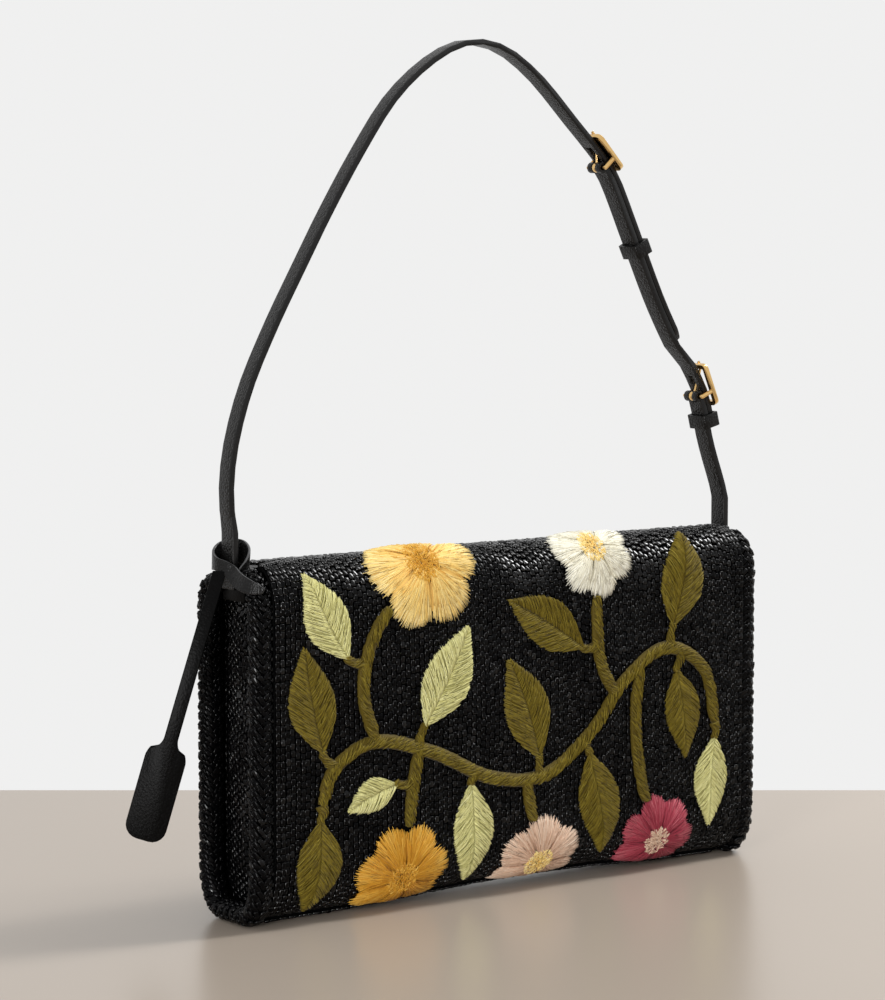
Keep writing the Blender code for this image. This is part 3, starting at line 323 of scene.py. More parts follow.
def cloth_frame(x, v, rise, side=-1):
    """Places with the directions along the bag, up the cloth and out of it."""
    place = on_cloth(x, v, rise, side)
    along = unit(on_cloth(x, v + PROBE, rise, side) - on_cloth(x, v - PROBE, rise, side))
    across = on_cloth(x + PROBE, v, rise, side) - on_cloth(x - PROBE, v, rise, side)
    across = unit(across * -side)
    return place, across, along, np.cross(across, along)


# The cloth that carries the beads: black cotton, felted and stitched all over. It shows
# only in the lines between beads. Each sheet is a grid laid over the shape above.
BEAD_WALL = 0.0013
CLOTH_WALL = 0.0007
CLOTH_GRID = (64, 72)
YARNS = 560.0


def cotton_finish(name, dark, light):
    """A close plain weave of matt black yarn."""
    made, shader, nodes, links = fresh_material(name)
    place = add_node(nodes, "TexCoord")
    tint = tint_ramp(nodes, dark, light)
    bump = add_node(nodes, "Bump", Strength=0.35, Distance=0.0002)
    weave = add_node(nodes, "Math")
    weave.operation = "MULTIPLY"
    for k, direction in enumerate(("X", "Z")):
        yarn = add_node(nodes, "TexWave", Scale=YARNS, Distortion=0.6)
        yarn.bands_direction = direction
        wire(links, (place, "Object", yarn, "Vector"), (yarn, "Fac", weave, k))
    wire(
        links,
        (weave, 0, tint, "Fac"),
        (tint, "Color", shader, "Base Color"),
        (weave, 0, bump, "Height"),
        (bump, "Normal", shader, "Normal"),
    )
    shader.inputs["Roughness"].default_value = 0.9
    shader.inputs["Specular IOR Level"].default_value = 0.06
    return made


backing_cotton = cotton_finish("backing_cotton", (0.0008, 0.0008, 0.0009), (0.002, 0.002, 0.0022))


def laid_grid(name, columns, rows, wall, place):
    """A grid whose squares run 0 to 1 both ways, laid by place(u, w) and given a wall."""
    grid = bpy.ops.mesh.primitive_grid_add
    made = start_from(grid, x_subdivisions=columns, y_subdivisions=rows, size=1.0)
    made.name = name
    flat = np.array([v.co for v in made.data.vertices]) + 0.5
    laid = place(flat[:, 0], flat[:, 1])
    made.data.vertices.foreach_set("co", laid.astype(np.float32).ravel())
    thick = made.modifiers.new("wall", "SOLIDIFY")
    thick.thickness = wall
    thick.offset = -1.0
    apply_modifiers(made)
    made.data.shade_smooth()
    return made


def laid_cloth(side):
    def place(u, w):
        x = -side * (2 * u - 1) * CLOTH_HALF
        v = RUN_START + (RUN_END - RUN_START) * w
        return on_cloth(x, v, -BEAD_WALL, side)

    return place


for name, side in (("front", -1), ("back", 1)):
    cloth = laid_grid(name + "_cloth", *CLOTH_GRID, CLOTH_WALL, laid_cloth(side))
    cloth.data.materials.append(backing_cotton)
    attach(cloth, "bag")
    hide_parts(name + "_panel")


# The stitched vine, as drawn on the front before it is sewn: leaves, flowers and stems
# in shares of the front's half length and of the bag's height.
FLOWERS = (
    ("flower_ochre", (-0.510, 0.090), 0.158, 7, 0.2),
    ("flower_blush", (0.085, 0.060), 0.150, 6, 0.5),
    ("flower_crimson", (0.620, 0.085), 0.140, 7, 0.9),
    ("flower_yellow", (-0.415, 0.975), 0.185, 6, 0.1),
    ("flower_ivory", (0.330, 0.975), 0.145, 7, 0.4),
)
LEAVES = (
    ("leaf_1", (-0.840, 0.470), (-0.915, 0.775), 0.150, "olive"),
    ("leaf_2", (-0.430, 0.515), (-0.240, 0.795), 0.160, "pale_green"),
    ("leaf_3", (-0.235, 0.345), (-0.215, 0.020), 0.140, "pale_green"),
    ("leaf_4", (0.065, 0.385), (-0.075, 0.690), 0.160, "olive"),
    ("leaf_5", (0.292, 0.385), (0.380, 0.050), 0.150, "olive"),
    ("leaf_6", (0.680, 0.725), (0.760, 1.010), 0.160, "olive"),
    ("leaf_7", (-0.740, 0.725), (-0.900, 0.975), 0.140, "pale_green"),
    ("leaf_8", (0.262, 0.690), (-0.070, 0.850), 0.145, "olive"),
    ("leaf_9", (-0.850, 0.290), (-0.880, 0.010), 0.150, "olive"),
    ("leaf_10", (0.885, 0.385), (0.868, 0.105), 0.130, "pale_green"),
    ("leaf_11", (0.700, 0.600), (0.745, 0.325), 0.135, "olive"),
    ("leaf_12", (-0.545, 0.365), (-0.745, 0.300), 0.095, "pale_green"),
)
MAIN_STEM = (
    (-0.845, 0.330), (-0.790, 0.430), (-0.630, 0.490), (-0.390, 0.440),
    (-0.150, 0.350), (0.090, 0.335), (0.295, 0.440), (0.450, 0.580),
    (0.650, 0.665), (0.830, 0.590), (0.885, 0.425),
)
BRANCHES = (
    ("stem_ochre", ((-0.450, 0.455), (-0.480, 0.340), (-0.510, 0.090))),
    ("stem_blush", ((0.010, 0.330), (0.030, 0.240), (0.085, 0.060))),
    ("stem_crimson", ((0.530, 0.625), (0.505, 0.480), (0.530, 0.290), (0.620, 0.085))),
    ("stem_yellow", ((-0.630, 0.490), (-0.680, 0.640), (-0.620, 0.800), (-0.415, 0.975))),
    ("stem_ivory", ((0.410, 0.540), (0.330, 0.680), (0.330, 0.975))),
)
LEAF_BREADTHS = (0.0, 0.38, 0.70, 0.93, 1.0, 0.95, 0.80, 0.56, 0.28, 0.0)
STEM_WIDTH = 0.0068
STALK_WIDTH = 0.0042
STALK_BOW = 0.0008
STALK_TUCK = 0.0015
STALK_STEP = 0.0006
LEAF_CURL = 0.0012
PETAL_VALLEY, PETAL_SWELL = 0.80, 0.20
STEM_REACH = 0.9
# How far inside the stitching's edge beads are left out.
LEAF_MARGIN, FLOWER_MARGIN, STEM_MARGIN = 0.0013, 0.0016, 0.0010


def drawn(point):
    """A place on the drawn front, in metres along the bag and up the cloth."""
    return np.array([point[0] * HALF_LENGTH, point[1] * HEIGHT])


def smooth_path(points, steps=16):
    """A smooth curve through the points."""
    p = np.array(points, float)
    p = np.vstack([2 * p[0] - p[1], p, 2 * p[-1] - p[-2]])
    out = []
    for a, b, c, d in zip(p, p[1:], p[2:], p[3:]):
        for t in np.linspace(0, 1, steps, endpoint=False):
            bend = (2 * a - 5 * b + 4 * c - d) * t + (3 * b - 3 * c + d - a) * t**2
            out.append(b + 0.5 * t * ((c - a) + bend))
    return np.array(out + [p[-2]])


def even(path, step):
    """The path again with its points this far apart."""
    length = lengths_along(path)
    count = max(2, int(round(length[-1] / step)))
    at = np.linspace(0, length[-1], count + 1)
    return np.stack([np.interp(at, length, path[:, k]) for k in range(path.shape[1])], 1)


leaf_outline = smooth_path(list(zip(np.linspace(0, 1, len(LEAF_BREADTHS)), LEAF_BREADTHS)), 8)


class Leaf:
    """A leaf's midrib and breadth, with a slight curl to one side."""

    def __init__(self, stalk, tip, breadth, curl):
        self.foot, self.tip = drawn(stalk), drawn(tip)
        self.length = np.linalg.norm(self.tip - self.foot)
        self.heading = (self.tip - self.foot) / self.length
        self.across = np.array([-self.heading[1], self.heading[0]])
        self.half = breadth * HEIGHT / 2
        self.curl = curl

    def breadth(self, t):
        return self.half * np.interp(t, leaf_outline[:, 0], leaf_outline[:, 1])

    def at(self, t, offset):
        """The drawn place at share t of the midrib, this far off it."""
        t = np.asarray(t, float)
        bow = self.curl * np.sin(np.clip(t, 0, 1) * math.pi)
        side = np.asarray(offset + bow)[..., None] * self.across
        return self.foot + (t * self.length)[..., None] * self.heading + side

    def covers(self, places, margin):
        """Whether the stitching hides these drawn places."""
        apart = places - self.foot
        t = apart @ self.heading / self.length
        offset = apart @ self.across - self.curl * np.sin(np.clip(t, 0, 1) * math.pi)
        return (t > 0) & (t < 1) & (np.abs(offset) < self.breadth(t) - margin)


def petal_reach(angle, petals):
    """How far a flower's edge lies at this angle, as a share of its radius."""
    return PETAL_VALLEY + PETAL_SWELL * np.abs(np.cos(petals * angle / 2)) ** 0.7


def flower_covers(places, flower, margin):
    """Whether the stitching of a flower hides these drawn places."""
    _, centre, radius, petals, turn = flower
    apart = places - drawn(centre)
    angle = np.arctan2(apart[:, 1], apart[:, 0]) - turn
    edge = radius * HEIGHT * petal_reach(angle, petals)
    return np.linalg.norm(apart, axis=1) < edge - margin


def nearest(path, places):
    """Each place's distance to the path, and the nearest point's number on it."""
    apart = np.linalg.norm(places[:, None, :] - path[None, :, :], axis=2)
    return apart.min(1), apart.argmin(1)


drawn_leaves = {}
for k, (name, stalk, tip, breadth, _) in enumerate(LEAVES):
    drawn_leaves[name] = Leaf(stalk, tip, breadth, LEAF_CURL * (-1) ** k)
main_path = smooth_path([drawn(p) for p in MAIN_STEM])
stem_paths = {"main_stem": (main_path, STEM_WIDTH)}
for (name, points), flower in zip(BRANCHES, FLOWERS):
    path = smooth_path([drawn(p) for p in points])
    reach = flower[2] * HEIGHT * STEM_REACH
    keep = np.linalg.norm(path - drawn(flower[1]), axis=1) > reach
    stem_paths[name] = (path[keep], STEM_WIDTH)
for name, leaf in drawn_leaves.items():
    places = np.concatenate([path for path, _ in stem_paths.values()])
    start = places[nearest(places, leaf.foot[None])[1][0]]
    inside = leaf.foot + leaf.heading * STALK_TUCK
    bend = (start + leaf.foot) / 2 + leaf.across * STALK_BOW
    stalk = smooth_path([start, bend, leaf.foot, inside], 6)
    stem_paths[name + "_stalk"] = (even(stalk, STALK_STEP), STALK_WIDTH)


def under_stitching(places):
    """Which of these drawn places have stitching over them, and so no beads."""
    hidden = np.zeros(len(places), bool)
    for leaf in drawn_leaves.values():
        hidden |= leaf.covers(places, LEAF_MARGIN)
    for flower in FLOWERS:
        hidden |= flower_covers(places, flower, FLOWER_MARGIN)
    for path, width in stem_paths.values():
        hidden |= nearest(path, places)[0] < width / 2 - STEM_MARGIN
    return hidden


# The beads: short bars of cut black glass, sewn upright side by side. One is modelled,
# a cube with its face edges bevelled, and copied with a small random turn and tilt.
BEAD_PITCH = 0.00236
ROW_PITCH = 0.00296
BEAD_WIDTH = 0.00190
BEAD_LENGTH = 0.00266
CUT_EDGE = 0.12
BEAD_TINTS = ((0.0008, 0.0008, 0.0010), (0.0014, 0.0014, 0.0017), (0.0024, 0.0022, 0.0023))
# How much beads differ in width, length and height, and how much of a tilt turns them.
BEAD_UNEVEN = (0.035, 0.045, 0.08)
TURN_SHARE = 0.8
FACE_GLEAM = 0.4


def bead_finish():
    made, shader, nodes, links = fresh_material("black_glass_beads")
    tone = add_node(nodes, "Attribute")
    tone.attribute_name = "tone"
    tint = tint_ramp(nodes, *BEAD_TINTS)
    gloss = add_node(nodes, "MapRange", To_Min=0.05, To_Max=0.16)
    gleam = add_node(nodes, "Attribute")
    gleam.attribute_name = "gleam"
    shine = add_node(nodes, "MapRange", To_Min=0.05, To_Max=0.60)
    wire(
        links,
        (tone, "Fac", tint, "Fac"),
        (tone, "Fac", gloss, "Value"),
        (gleam, "Fac", shine, "Value"),
        (tint, "Color", shader, "Base Color"),
        (gloss, "Result", shader, "Roughness"),
        (shine, "Result", shader, "Specular IOR Level"),
    )
    return made


def work_edges(piece, chosen, step, **sizes):
    """Does one modelling step on those edges of the piece that chosen(edge) picks."""
    pick(piece)
    bpy.ops.object.mode_set(mode="EDIT")
    bpy.ops.mesh.select_mode(type="EDGE")
    bpy.ops.mesh.select_all(action="DESELECT")
    shape = bmesh.from_edit_mesh(piece.data)
    for edge in shape.edges:
        edge.select = chosen(edge)
    bmesh.update_edit_mesh(piece.data)
    step(**sizes)
    bpy.ops.object.mode_set(mode="OBJECT")


def around_face(edge):
    """Whether this edge runs round the bead's outer face."""
    return all(v.co.z > 0.9 for v in edge.verts)


def add_mesh(name, points, faces):
    """A piece from its points and from arrays of faces with one count of corners each."""
    mesh = bpy.data.meshes.new(name)
    mesh.vertices.add(len(points))
    mesh.vertices.foreach_set("co", np.asarray(points, np.float32).ravel())
    corners = np.concatenate([rows.ravel() for rows in faces])
    counts = np.concatenate([np.full(len(rows), rows.shape[1]) for rows in faces])
    mesh.loops.add(len(corners))
    mesh.loops.foreach_set("vertex_index", corners.astype(np.int32))
    mesh.polygons.add(len(counts))
    starts = np.concatenate([[0], np.cumsum(counts)[:-1]])
    mesh.polygons.foreach_set("loop_start", starts.astype(np.int32))
    mesh.update(calc_edges=True)
    mesh.validate()
    made = bpy.data.objects.new(name, mesh)
    bpy.context.scene.collection.objects.link(made)
    return made


def unit_mesh(piece):
    """The modelled pattern's points and faces, after which the pattern is removed."""
    mesh = piece.data
    points = np.array([v.co for v in mesh.vertices])
    faces = {}
    for polygon in mesh.polygons:
        faces.setdefault(len(polygon.vertices), []).append(list(polygon.vertices))
    bpy.data.objects.remove(piece)
    return points, [np.array(rows) for rows in faces.values()]


def add_copies(name, points, unit_faces):
    """A piece of one pattern many times over, from each copy's points."""
    shift = np.arange(len(points))[:, None, None] * points.shape[1]
    faces = [(rows[None] + shift).reshape(-1, rows.shape[1]) for rows in unit_faces]
    return add_mesh(name, points.reshape(-1, 3), faces)


def point_values(piece, name, values):
    """A number on each point of the piece, for its material to read."""
    layer = piece.data.attributes.new(name, "FLOAT", "POINT")
    layer.data.foreach_set("value", np.asarray(values, np.float32))


black_glass = bead_finish()
bead = start_from(bpy.ops.mesh.primitive_cube_add, size=1.0, location=(0, 0, 0.5))
settle_in_place(bead)
work_edges(bead, around_face, bpy.ops.mesh.bevel, offset=CUT_EDGE, segments=1)
BEAD_POINTS, BEAD_FACES = unit_mesh(bead)


def sewn_beads(name, spots, sizes, seed, tilt=0.06, nod=0.0, bright=0.0, rim=1.0):
    """One piece of many beads: spots are places with their across, along and out. Their
    edges gleam, and so do the faces of a few, or of more where bright says so."""
    chance = np.random.default_rng(seed)
    place, across, along, out = spots
    count = len(place)
    lean = chance.normal(0, tilt, (count, 3))
    lean[:, 1] += nod
    out = unit(out + across * lean[:, :1] + along * lean[:, 1:2])
    along = along + across * lean[:, 2:] * TURN_SHARE
    along = unit(along - out * np.sum(along * out, axis=1)[:, None])
    across = np.cross(along, out)
    spread = np.array(sizes) * (1 + chance.normal(0, BEAD_UNEVEN, (count, 3)))
    local = BEAD_POINTS[None] * spread[:, None, :]
    points = place[:, None] + (
        local[..., :1] * across[:, None]
        + local[..., 1:2] * along[:, None]
        + local[..., 2:] * out[:, None]
    )
    made = add_copies(name, points, BEAD_FACES)
    point_values(made, "tone", np.repeat(chance.random(count), len(BEAD_POINTS)))
    gleam = FACE_GLEAM * chance.random(count) ** 12
    gleam = np.maximum(gleam, bright * chance.random(count) ** 0.7)
    edges = rim * chance.random(count)
    on_face = BEAD_POINTS[:, 2] > 0.99
    gleam = np.where(on_face[None], gleam[:, None], np.maximum(gleam, edges)[:, None])
    point_values(made, "gleam", gleam.ravel())
    made.data.materials.append(black_glass)
    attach(made, "bag")
    return made


# Beads just below the crest nod upwards, more in some places than in others, where the
# thread pulls them over.
CREST_V = np.interp(90, run_turn, run_length)
NOD_BELOW, NOD_BAND = 0.010, 0.006
NOD_LEAST, NOD_MORE = 0.10, 0.24
GLEAM_LEAST, GLEAM_MORE = 0.25, 0.75
LADDER_STRINGS = 2
STRING_STAGGER = 0.24
STRING_WANDER, STRING_STRAY = 0.00038, 0.00007
BEAD_CREEP, BEAD_STRAY = 0.00045, 0.00012
LIP_MARGIN = 0.0008
PANEL_TILT = 0.08


def crest_nod(x, v):
    """How far beads nod, and how brightly they gleam."""
    patch = 0.5 + 0.5 * np.sin(x * 83 + 1.1 + 1.3 * np.sin(x * 37))
    below = CREST_V - NOD_BELOW - NOD_BAND * patch
    near = np.exp(-(((v - below) / (NOD_BAND + NOD_BAND * patch)) ** 2))
    return (NOD_LEAST + NOD_MORE * patch) * near, (GLEAM_LEAST + GLEAM_MORE * patch) * near


def bead_rows(side, seed):
    """Strings of beads up the cloth. The outer two at each end lie level, as a ladder,
    and the rest are set off their neighbours by chance."""
    chance = np.random.default_rng(seed)
    columns = int(2 * CLOTH_HALF / BEAD_PITCH)
    rows = int((RUN_END - RUN_START) / ROW_PITCH)
    k, j = np.meshgrid(np.arange(columns), np.arange(rows), indexing="ij")
    x = (k - (columns - 1) / 2) * 2 * CLOTH_HALF / columns
    ladder = (k < LADDER_STRINGS) | (k >= columns - LADDER_STRINGS)
    stagger = chance.uniform(-STRING_STAGGER, STRING_STAGGER, columns)
    drift = (np.arange(columns) % 2) * 0.5 + stagger
    v = RUN_START + (j + 0.5 + np.where(ladder, 0, drift[k])) * ROW_PITCH
    v += np.where(ladder, 0, BEAD_CREEP * np.sin(x * 61 + v * 40))
    x += np.where(ladder, 0, STRING_WANDER * np.sin(v * 105 + 1.7 * np.sin(x * 38)))
    x += chance.normal(0, STRING_STRAY, x.shape)
    v += chance.normal(0, BEAD_STRAY, v.shape)
    inside = (v > RUN_START + ROW_PITCH / 2) & (v < RUN_END - LIP_MARGIN)
    return x[inside], v[inside]


for name, side, seed in (("front", -1, 11), ("back", 1, 12)):
    x, v = bead_rows(side, seed)
    if side < 0:
        bare = ~under_stitching(np.stack([x, v], 1))
        x, v = x[bare], v[bare]
    spots = cloth_frame(x, v, -BEAD_WALL, side)
    nod, bright = crest_nod(x, v)
    sizes = (BEAD_WIDTH, BEAD_LENGTH, BEAD_WALL)
    beads = sewn_beads(name + "_beads", spots, sizes, seed, PANEL_TILT, nod, bright)
    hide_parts(name + "_panel")


# The base strip: the same beaded cloth, drawn up a little between the ends.
# It closes the bag below, and its beads face the table.
strip_low, strip_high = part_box("bottom_panel")
STRIP_WALL = 0.0021
STRIP_INSET = 0.0002
STRIP_GRID = (64, 8)
STRIP_LANES = 6
STRIP_BEAD = (BEAD_WIDTH, BEAD_LENGTH, BEAD_WALL - STRIP_INSET)


def strip_place(u, w):
    x = (2 * u - 1) * strip_high.x
    y = (1 - 2 * w) * (strip_high.y - STRIP_INSET)
    return settle(np.stack([x, y, np.full_like(x, strip_low.z + BEAD_WALL)], -1))


base_cloth = laid_grid("base_cloth", *STRIP_GRID, STRIP_WALL - BEAD_WALL, strip_place)
base_cloth.data.materials.append(backing_cotton)
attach(base_cloth, "bag")
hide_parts("bottom_panel")
columns = np.arange(-strip_high.x + BEAD_PITCH, strip_high.x - BEAD_PITCH / 2, BEAD_PITCH)
lanes = (np.arange(STRIP_LANES) - (STRIP_LANES - 1) / 2) * ROW_PITCH
x, y = (values.ravel() for values in np.meshgrid(columns, lanes))
level = np.full_like(x, strip_low.z + BEAD_WALL)
place = settle(np.stack([x, y, level], 1))
ones, none = np.ones_like(x), np.zeros_like(x)
across, along = np.stack([ones, none, none], 1), np.stack([none, -ones, none], 1)
spots = (place, across, along, np.cross(across, along))
base_beads = sewn_beads("base_beads", spots, STRIP_BEAD, 13)
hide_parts("bottom_panel")


# The gussets: narrow beaded ends that fill out between the rolls and pucker a little.
# Their beads hang upright in strings.
gusset_low, gusset_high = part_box("gusset_right")
GUSSET_MID = (gusset_low.z + gusset_high.z) / 2
GUSSET_TALL = (gusset_high.z - gusset_low.z) / 2
GUSSET_FACE = gusset_high.x
GUSSET_HALF = 0.0170
GUSSET_EDGE = 0.0026
GUSSET_PUCKER = 0.0005
GUSSET_GRID = (14, 40)
GUSSET_STRINGS = 17
GUSSET_MARGINS = (0.0006, 0.001)
STRING_SPREAD = 1.04
GUSSET_GLEAM = 0.65
LIP_POINTS = 7
# How far the gusset bulges out, at shares of its height.
GUSSET_BULGES = (
    (0.0, 0.0), (0.06, 0.0012), (0.16, 0.0026), (0.30, 0.0022), (0.48, 0.0044),
    (0.62, 0.0030), (0.78, 0.0038), (0.88, 0.0036), (1.0, 0.0010),
)
gusset_swell = smooth_path(GUSSET_BULGES, 8)


def gusset_breadth(z):
    """Half the gusset's depth at this height, inside the rounded front and back."""
    outline = run[:-LIP_POINTS]
    return np.interp(z, outline[:, 1], outline[:, 0]) - GUSSET_EDGE


def gusset_place(y, z, side, rise=0.0):
    level = np.clip((z - GUSSET_MID) / GUSSET_TALL, -1, 1)
    across = 1 - np.clip(np.abs(y) / GUSSET_HALF, 0, 1) ** 2.6
    out = np.interp((level + 1) / 2, gusset_swell[:, 0], gusset_swell[:, 1]) * across
    pucker = GUSSET_PUCKER * np.sin(z * 230 + y * 140) * np.sin(z * 61 - y * 90 + 0.7) * across
    x = side * (GUSSET_FACE + out + pucker + rise)
    return np.stack([x, y, z], -1)


for name, side, seed in (("left", -1, 14), ("right", 1, 15)):

    def place_gusset(u, w, side=side):
        z = gusset_low.z + (gusset_high.z - gusset_low.z) * w
        y = side * (2 * u - 1) * gusset_breadth(z)
        return gusset_place(y, z, side, -BEAD_WALL)

    cloth = laid_grid("gusset_cloth_" + name, *GUSSET_GRID, CLOTH_WALL, place_gusset)
    cloth.data.materials.append(backing_cotton)
    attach(cloth, "bag")
    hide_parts("gusset_" + name)
    lanes = np.arange(GUSSET_STRINGS) - GUSSET_STRINGS // 2
    rows = np.arange(int(2 * GUSSET_TALL / ROW_PITCH))
    k, j = (values.ravel() for values in np.meshgrid(lanes, rows))
    y = k * BEAD_PITCH * STRING_SPREAD
    z = gusset_low.z + (j + 0.6 + 0.5 * (k % 2)) * ROW_PITCH
    inside = np.abs(y) < gusset_breadth(z) - GUSSET_MARGINS[0]
    inside &= z < gusset_high.z - GUSSET_MARGINS[1]
    y, z = y[inside], z[inside]
    place = gusset_place(y, z, side, -BEAD_WALL)
    aside = side * PROBE
    across = unit(gusset_place(y + aside, z, side) - gusset_place(y - aside, z, side))
    along = unit(gusset_place(y, z + PROBE, side) - gusset_place(y, z - PROBE, side))
    spots = (place, across, along, np.cross(across, along))
    sizes = (BEAD_WIDTH, BEAD_LENGTH, BEAD_WALL)
    bright = GUSSET_GLEAM * np.sin(z * 75 + 1.0) ** 4
    tilt, nod, rim = 0.22, 0.0, 0.6
    beads = sewn_beads("gusset_beads_" + name, spots, sizes, seed, tilt, nod, bright, rim)
    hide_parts("gusset_" + name)


# The edge rolls: thick piping in the seams between gusset and front and back, wound
# with rope-like rows of beads that lean one way on each half.
ROLL_RADII = (0.0052, 0.0042)
ROLL_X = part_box("edge_roll_right")[1].x - ROLL_RADII[0]
ROLL_INSET = 0.0048
ROLL_SCALLOP = 0.0042
ROLL_CORE = (0.0039, 0.0029)
ROLL_SIDES = 14
ROLL_FOOT_HEIGHT = 0.0234
ROLL_CREST_DEPTH, ROLL_CREST_ROUND = 0.010, 0.0138
ROLL_DROP_FROM, ROLL_DROP_OVER = 0.136, 0.008
ROLL_BEAD = (0.00175, 0.00300, 0.00145)
ROLL_TURNS = 12
ROLL_LEAN = 0.75
ROLL_RISE, ROLL_SINK = 0.00030, 0.0002
ROLL_TILT, ROLL_RIM = 0.10, 0.35


def roll_run():
    """The roll's middle line from the back's crest, under the gusset, to the front's."""
    low = (FOLD_DEPTH, ROLL_FOOT_HEIGHT)
    high = (ROLL_CREST_DEPTH, HEIGHT - CREST_ROUND)
    foot_round = HALF_DEPTH - FOLD_DEPTH - ROLL_INSET
    lower = quarter(low, (foot_round, low[1] - ROLL_RADII[1]), -90, 0, 20)
    crest_radii = (HALF_DEPTH - high[0] - ROLL_INSET, ROLL_CREST_ROUND)
    front = np.concatenate([lower, quarter(high, crest_radii, 0, 90, 20)])
    back = front[::-1].copy()
    back[:, 1] -= BACK_DROP * ease((back[:, 1] - ROLL_DROP_FROM) / ROLL_DROP_OVER)
    points = np.concatenate([back, front * (-1, 1)])
    return np.stack([np.zeros(len(points)), points[:, 0], points[:, 1]], 1)


def upright(edge):
    """Whether this edge runs up the piece."""
    return abs(edge.verts[0].co.z - edge.verts[1].co.z) > 0.01


def bar(sides, sections):
    """A round bar 1 long up Z and 1 across, cut into sections along its length."""
    cylinder = bpy.ops.mesh.primitive_cylinder_add
    made = start_from(cylinder, vertices=sides, radius=0.5, depth=1.0)
    work_edges(made, upright, bpy.ops.mesh.subdivide, number_cuts=sections - 1)
    points, faces = unit_mesh(made)
    station = np.round((points[:, 2] + 0.5) * sections).astype(int)
    return points, faces, station


for name, side, seed in (("left", -1, 16), ("right", 1, 17)):
    line = even(roll_run(), ROLL_SCALLOP / 2)
    line[:, 0] = side * ROLL_X
    points, faces, station = bar(ROLL_SIDES, len(line) - 1)
    heading = unit(np.gradient(line, axis=0))
    sideways = np.array([1.0, 0, 0])
    outward = np.cross(heading, sideways)
    core = line[station] + 2 * ROLL_CORE[0] * points[:, :1] * sideways
    core += 2 * ROLL_CORE[1] * points[:, 1:2] * outward[station]
    core = add_mesh("roll_core_" + name, core, faces)
    core.data.shade_smooth()
    core.data.materials.append(backing_cotton)
    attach(core, "bag")
    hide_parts("edge_roll_" + name)
    rings = np.meshgrid(np.arange(ROLL_TURNS), np.arange(len(line)))
    k, j = (values.ravel() for values in rings)
    angle = (k + 0.5 * (j % 2)) * 2 * math.pi / ROLL_TURNS
    level = line[j] + heading[j] * (ROLL_SCALLOP / 4) * np.cos(angle * 2)[:, None]
    aside, ahead = np.sin(angle)[:, None] * sideways, np.cos(angle)[:, None] * outward[j]
    around = unit(aside / ROLL_CORE[0] + ahead / ROLL_CORE[1])
    ring = np.cross(around, heading[j])
    lean = np.where(np.sin(angle) * side > 0, 1.0, -1.0)[:, None]
    along = heading[j] * math.cos(ROLL_LEAN) + ring * lean * math.sin(ROLL_LEAN)
    scallop = ROLL_RISE * np.where(j % 2 == 0, 1.0, -1.0)[:, None] - ROLL_SINK
    place = level + aside * ROLL_CORE[0] + ahead * ROLL_CORE[1] + around * scallop
    spots = (place, np.cross(along, around), along, around)
    beads_name = "roll_beads_" + name
    beads = sewn_beads(beads_name, spots, ROLL_BEAD, seed, ROLL_TILT, rim=ROLL_RIM)
    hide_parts("edge_roll_" + name)


# The stitching: satin stitch in soft untwisted cotton over padding. One stitch is a
# three-sided bar, laid many times side by side, each bent over its padding.
STITCH_SECTIONS = 4
THREAD_WIDTH = 0.00044
THREAD_RISE = 0.00034
THREAD_STEP = 0.00034
THREAD_TAPER = 0.45
THREAD_PLUMP = (1.15, 1.3)
PAD_RISE = 0.0015
PAD_SINK = 0.0005
# The padding takes a dark tone of its thread: painted shade, seen in the gaps between stitches.
PAD_PAINTED_SHADE = 0.30
# Over the crest the stitching lies flat from FLAT_FROM on, and ends before the lip's foot.
STITCH_END = RUN_END - 0.0016
FLAT_FROM = np.interp(105, run_turn, run_length)
FLAT_OVER, FLAT_RISE = 0.003, 0.0001
STITCH_POINTS, STITCH_FACES, STITCH_STATION = bar(3, STITCH_SECTIONS)
THREAD_TINTS = {
    "olive": ((0.060, 0.040, 0.002), (0.175, 0.128, 0.010), (0.310, 0.245, 0.032)),
    "pale_green": ((0.380, 0.350, 0.100), (0.720, 0.690, 0.310), (0.880, 0.860, 0.480)),
    "ochre": ((0.400, 0.150, 0.006), (0.660, 0.330, 0.030), (0.860, 0.560, 0.120)),
    "blush": ((0.430, 0.230, 0.140), (0.740, 0.520, 0.380), (0.900, 0.760, 0.620)),
    "crimson": ((0.170, 0.012, 0.025), (0.400, 0.050, 0.080), (0.620, 0.190, 0.220)),
    "yellow": ((0.760, 0.380, 0.050), (0.920, 0.680, 0.230), (0.950, 0.830, 0.480)),
    "ivory": ((0.660, 0.600, 0.440), (0.880, 0.850, 0.710), (0.940, 0.930, 0.850)),
}


def thread_finish(name, tints):
    """Stranded cotton: a soft sheen, and a shade of its own on each stitch."""
    made, shader, nodes, links = fresh_material(name)
    tone = add_node(nodes, "Attribute")
    tone.attribute_name = "tone"
    tint = tint_ramp(nodes, *tints)
    place = add_node(nodes, "TexCoord")
    fibre = add_node(nodes, "TexNoise", Scale=2200.0, Detail=2.0)
    bump = add_node(nodes, "Bump", Strength=0.5, Distance=0.0001)
    wire(
        links,
        (tone, "Fac", tint, "Fac"),
        (tint, "Color", shader, "Base Color"),
        (place, "Object", fibre, "Vector"),
        (fibre, "Fac", bump, "Height"),
        (bump, "Normal", shader, "Normal"),
    )
    shader.inputs["Roughness"].default_value = 0.62
    shader.inputs["Specular IOR Level"].default_value = 0.15
    shader.inputs["Sheen Weight"].default_value = 0.06
    return made


THREADS = {name: thread_finish(name + "_thread", tints) for name, tints in THREAD_TINTS.items()}


def into_mouth(x, v, rises):
    """Keeps stitching short of the lip's foot, and flat inside the crest."""
    v = np.minimum(v, STITCH_END)
    flat = ease((v - FLAT_FROM) / FLAT_OVER)
    return x, v, rises * (1 - flat) + FLAT_RISE * flat


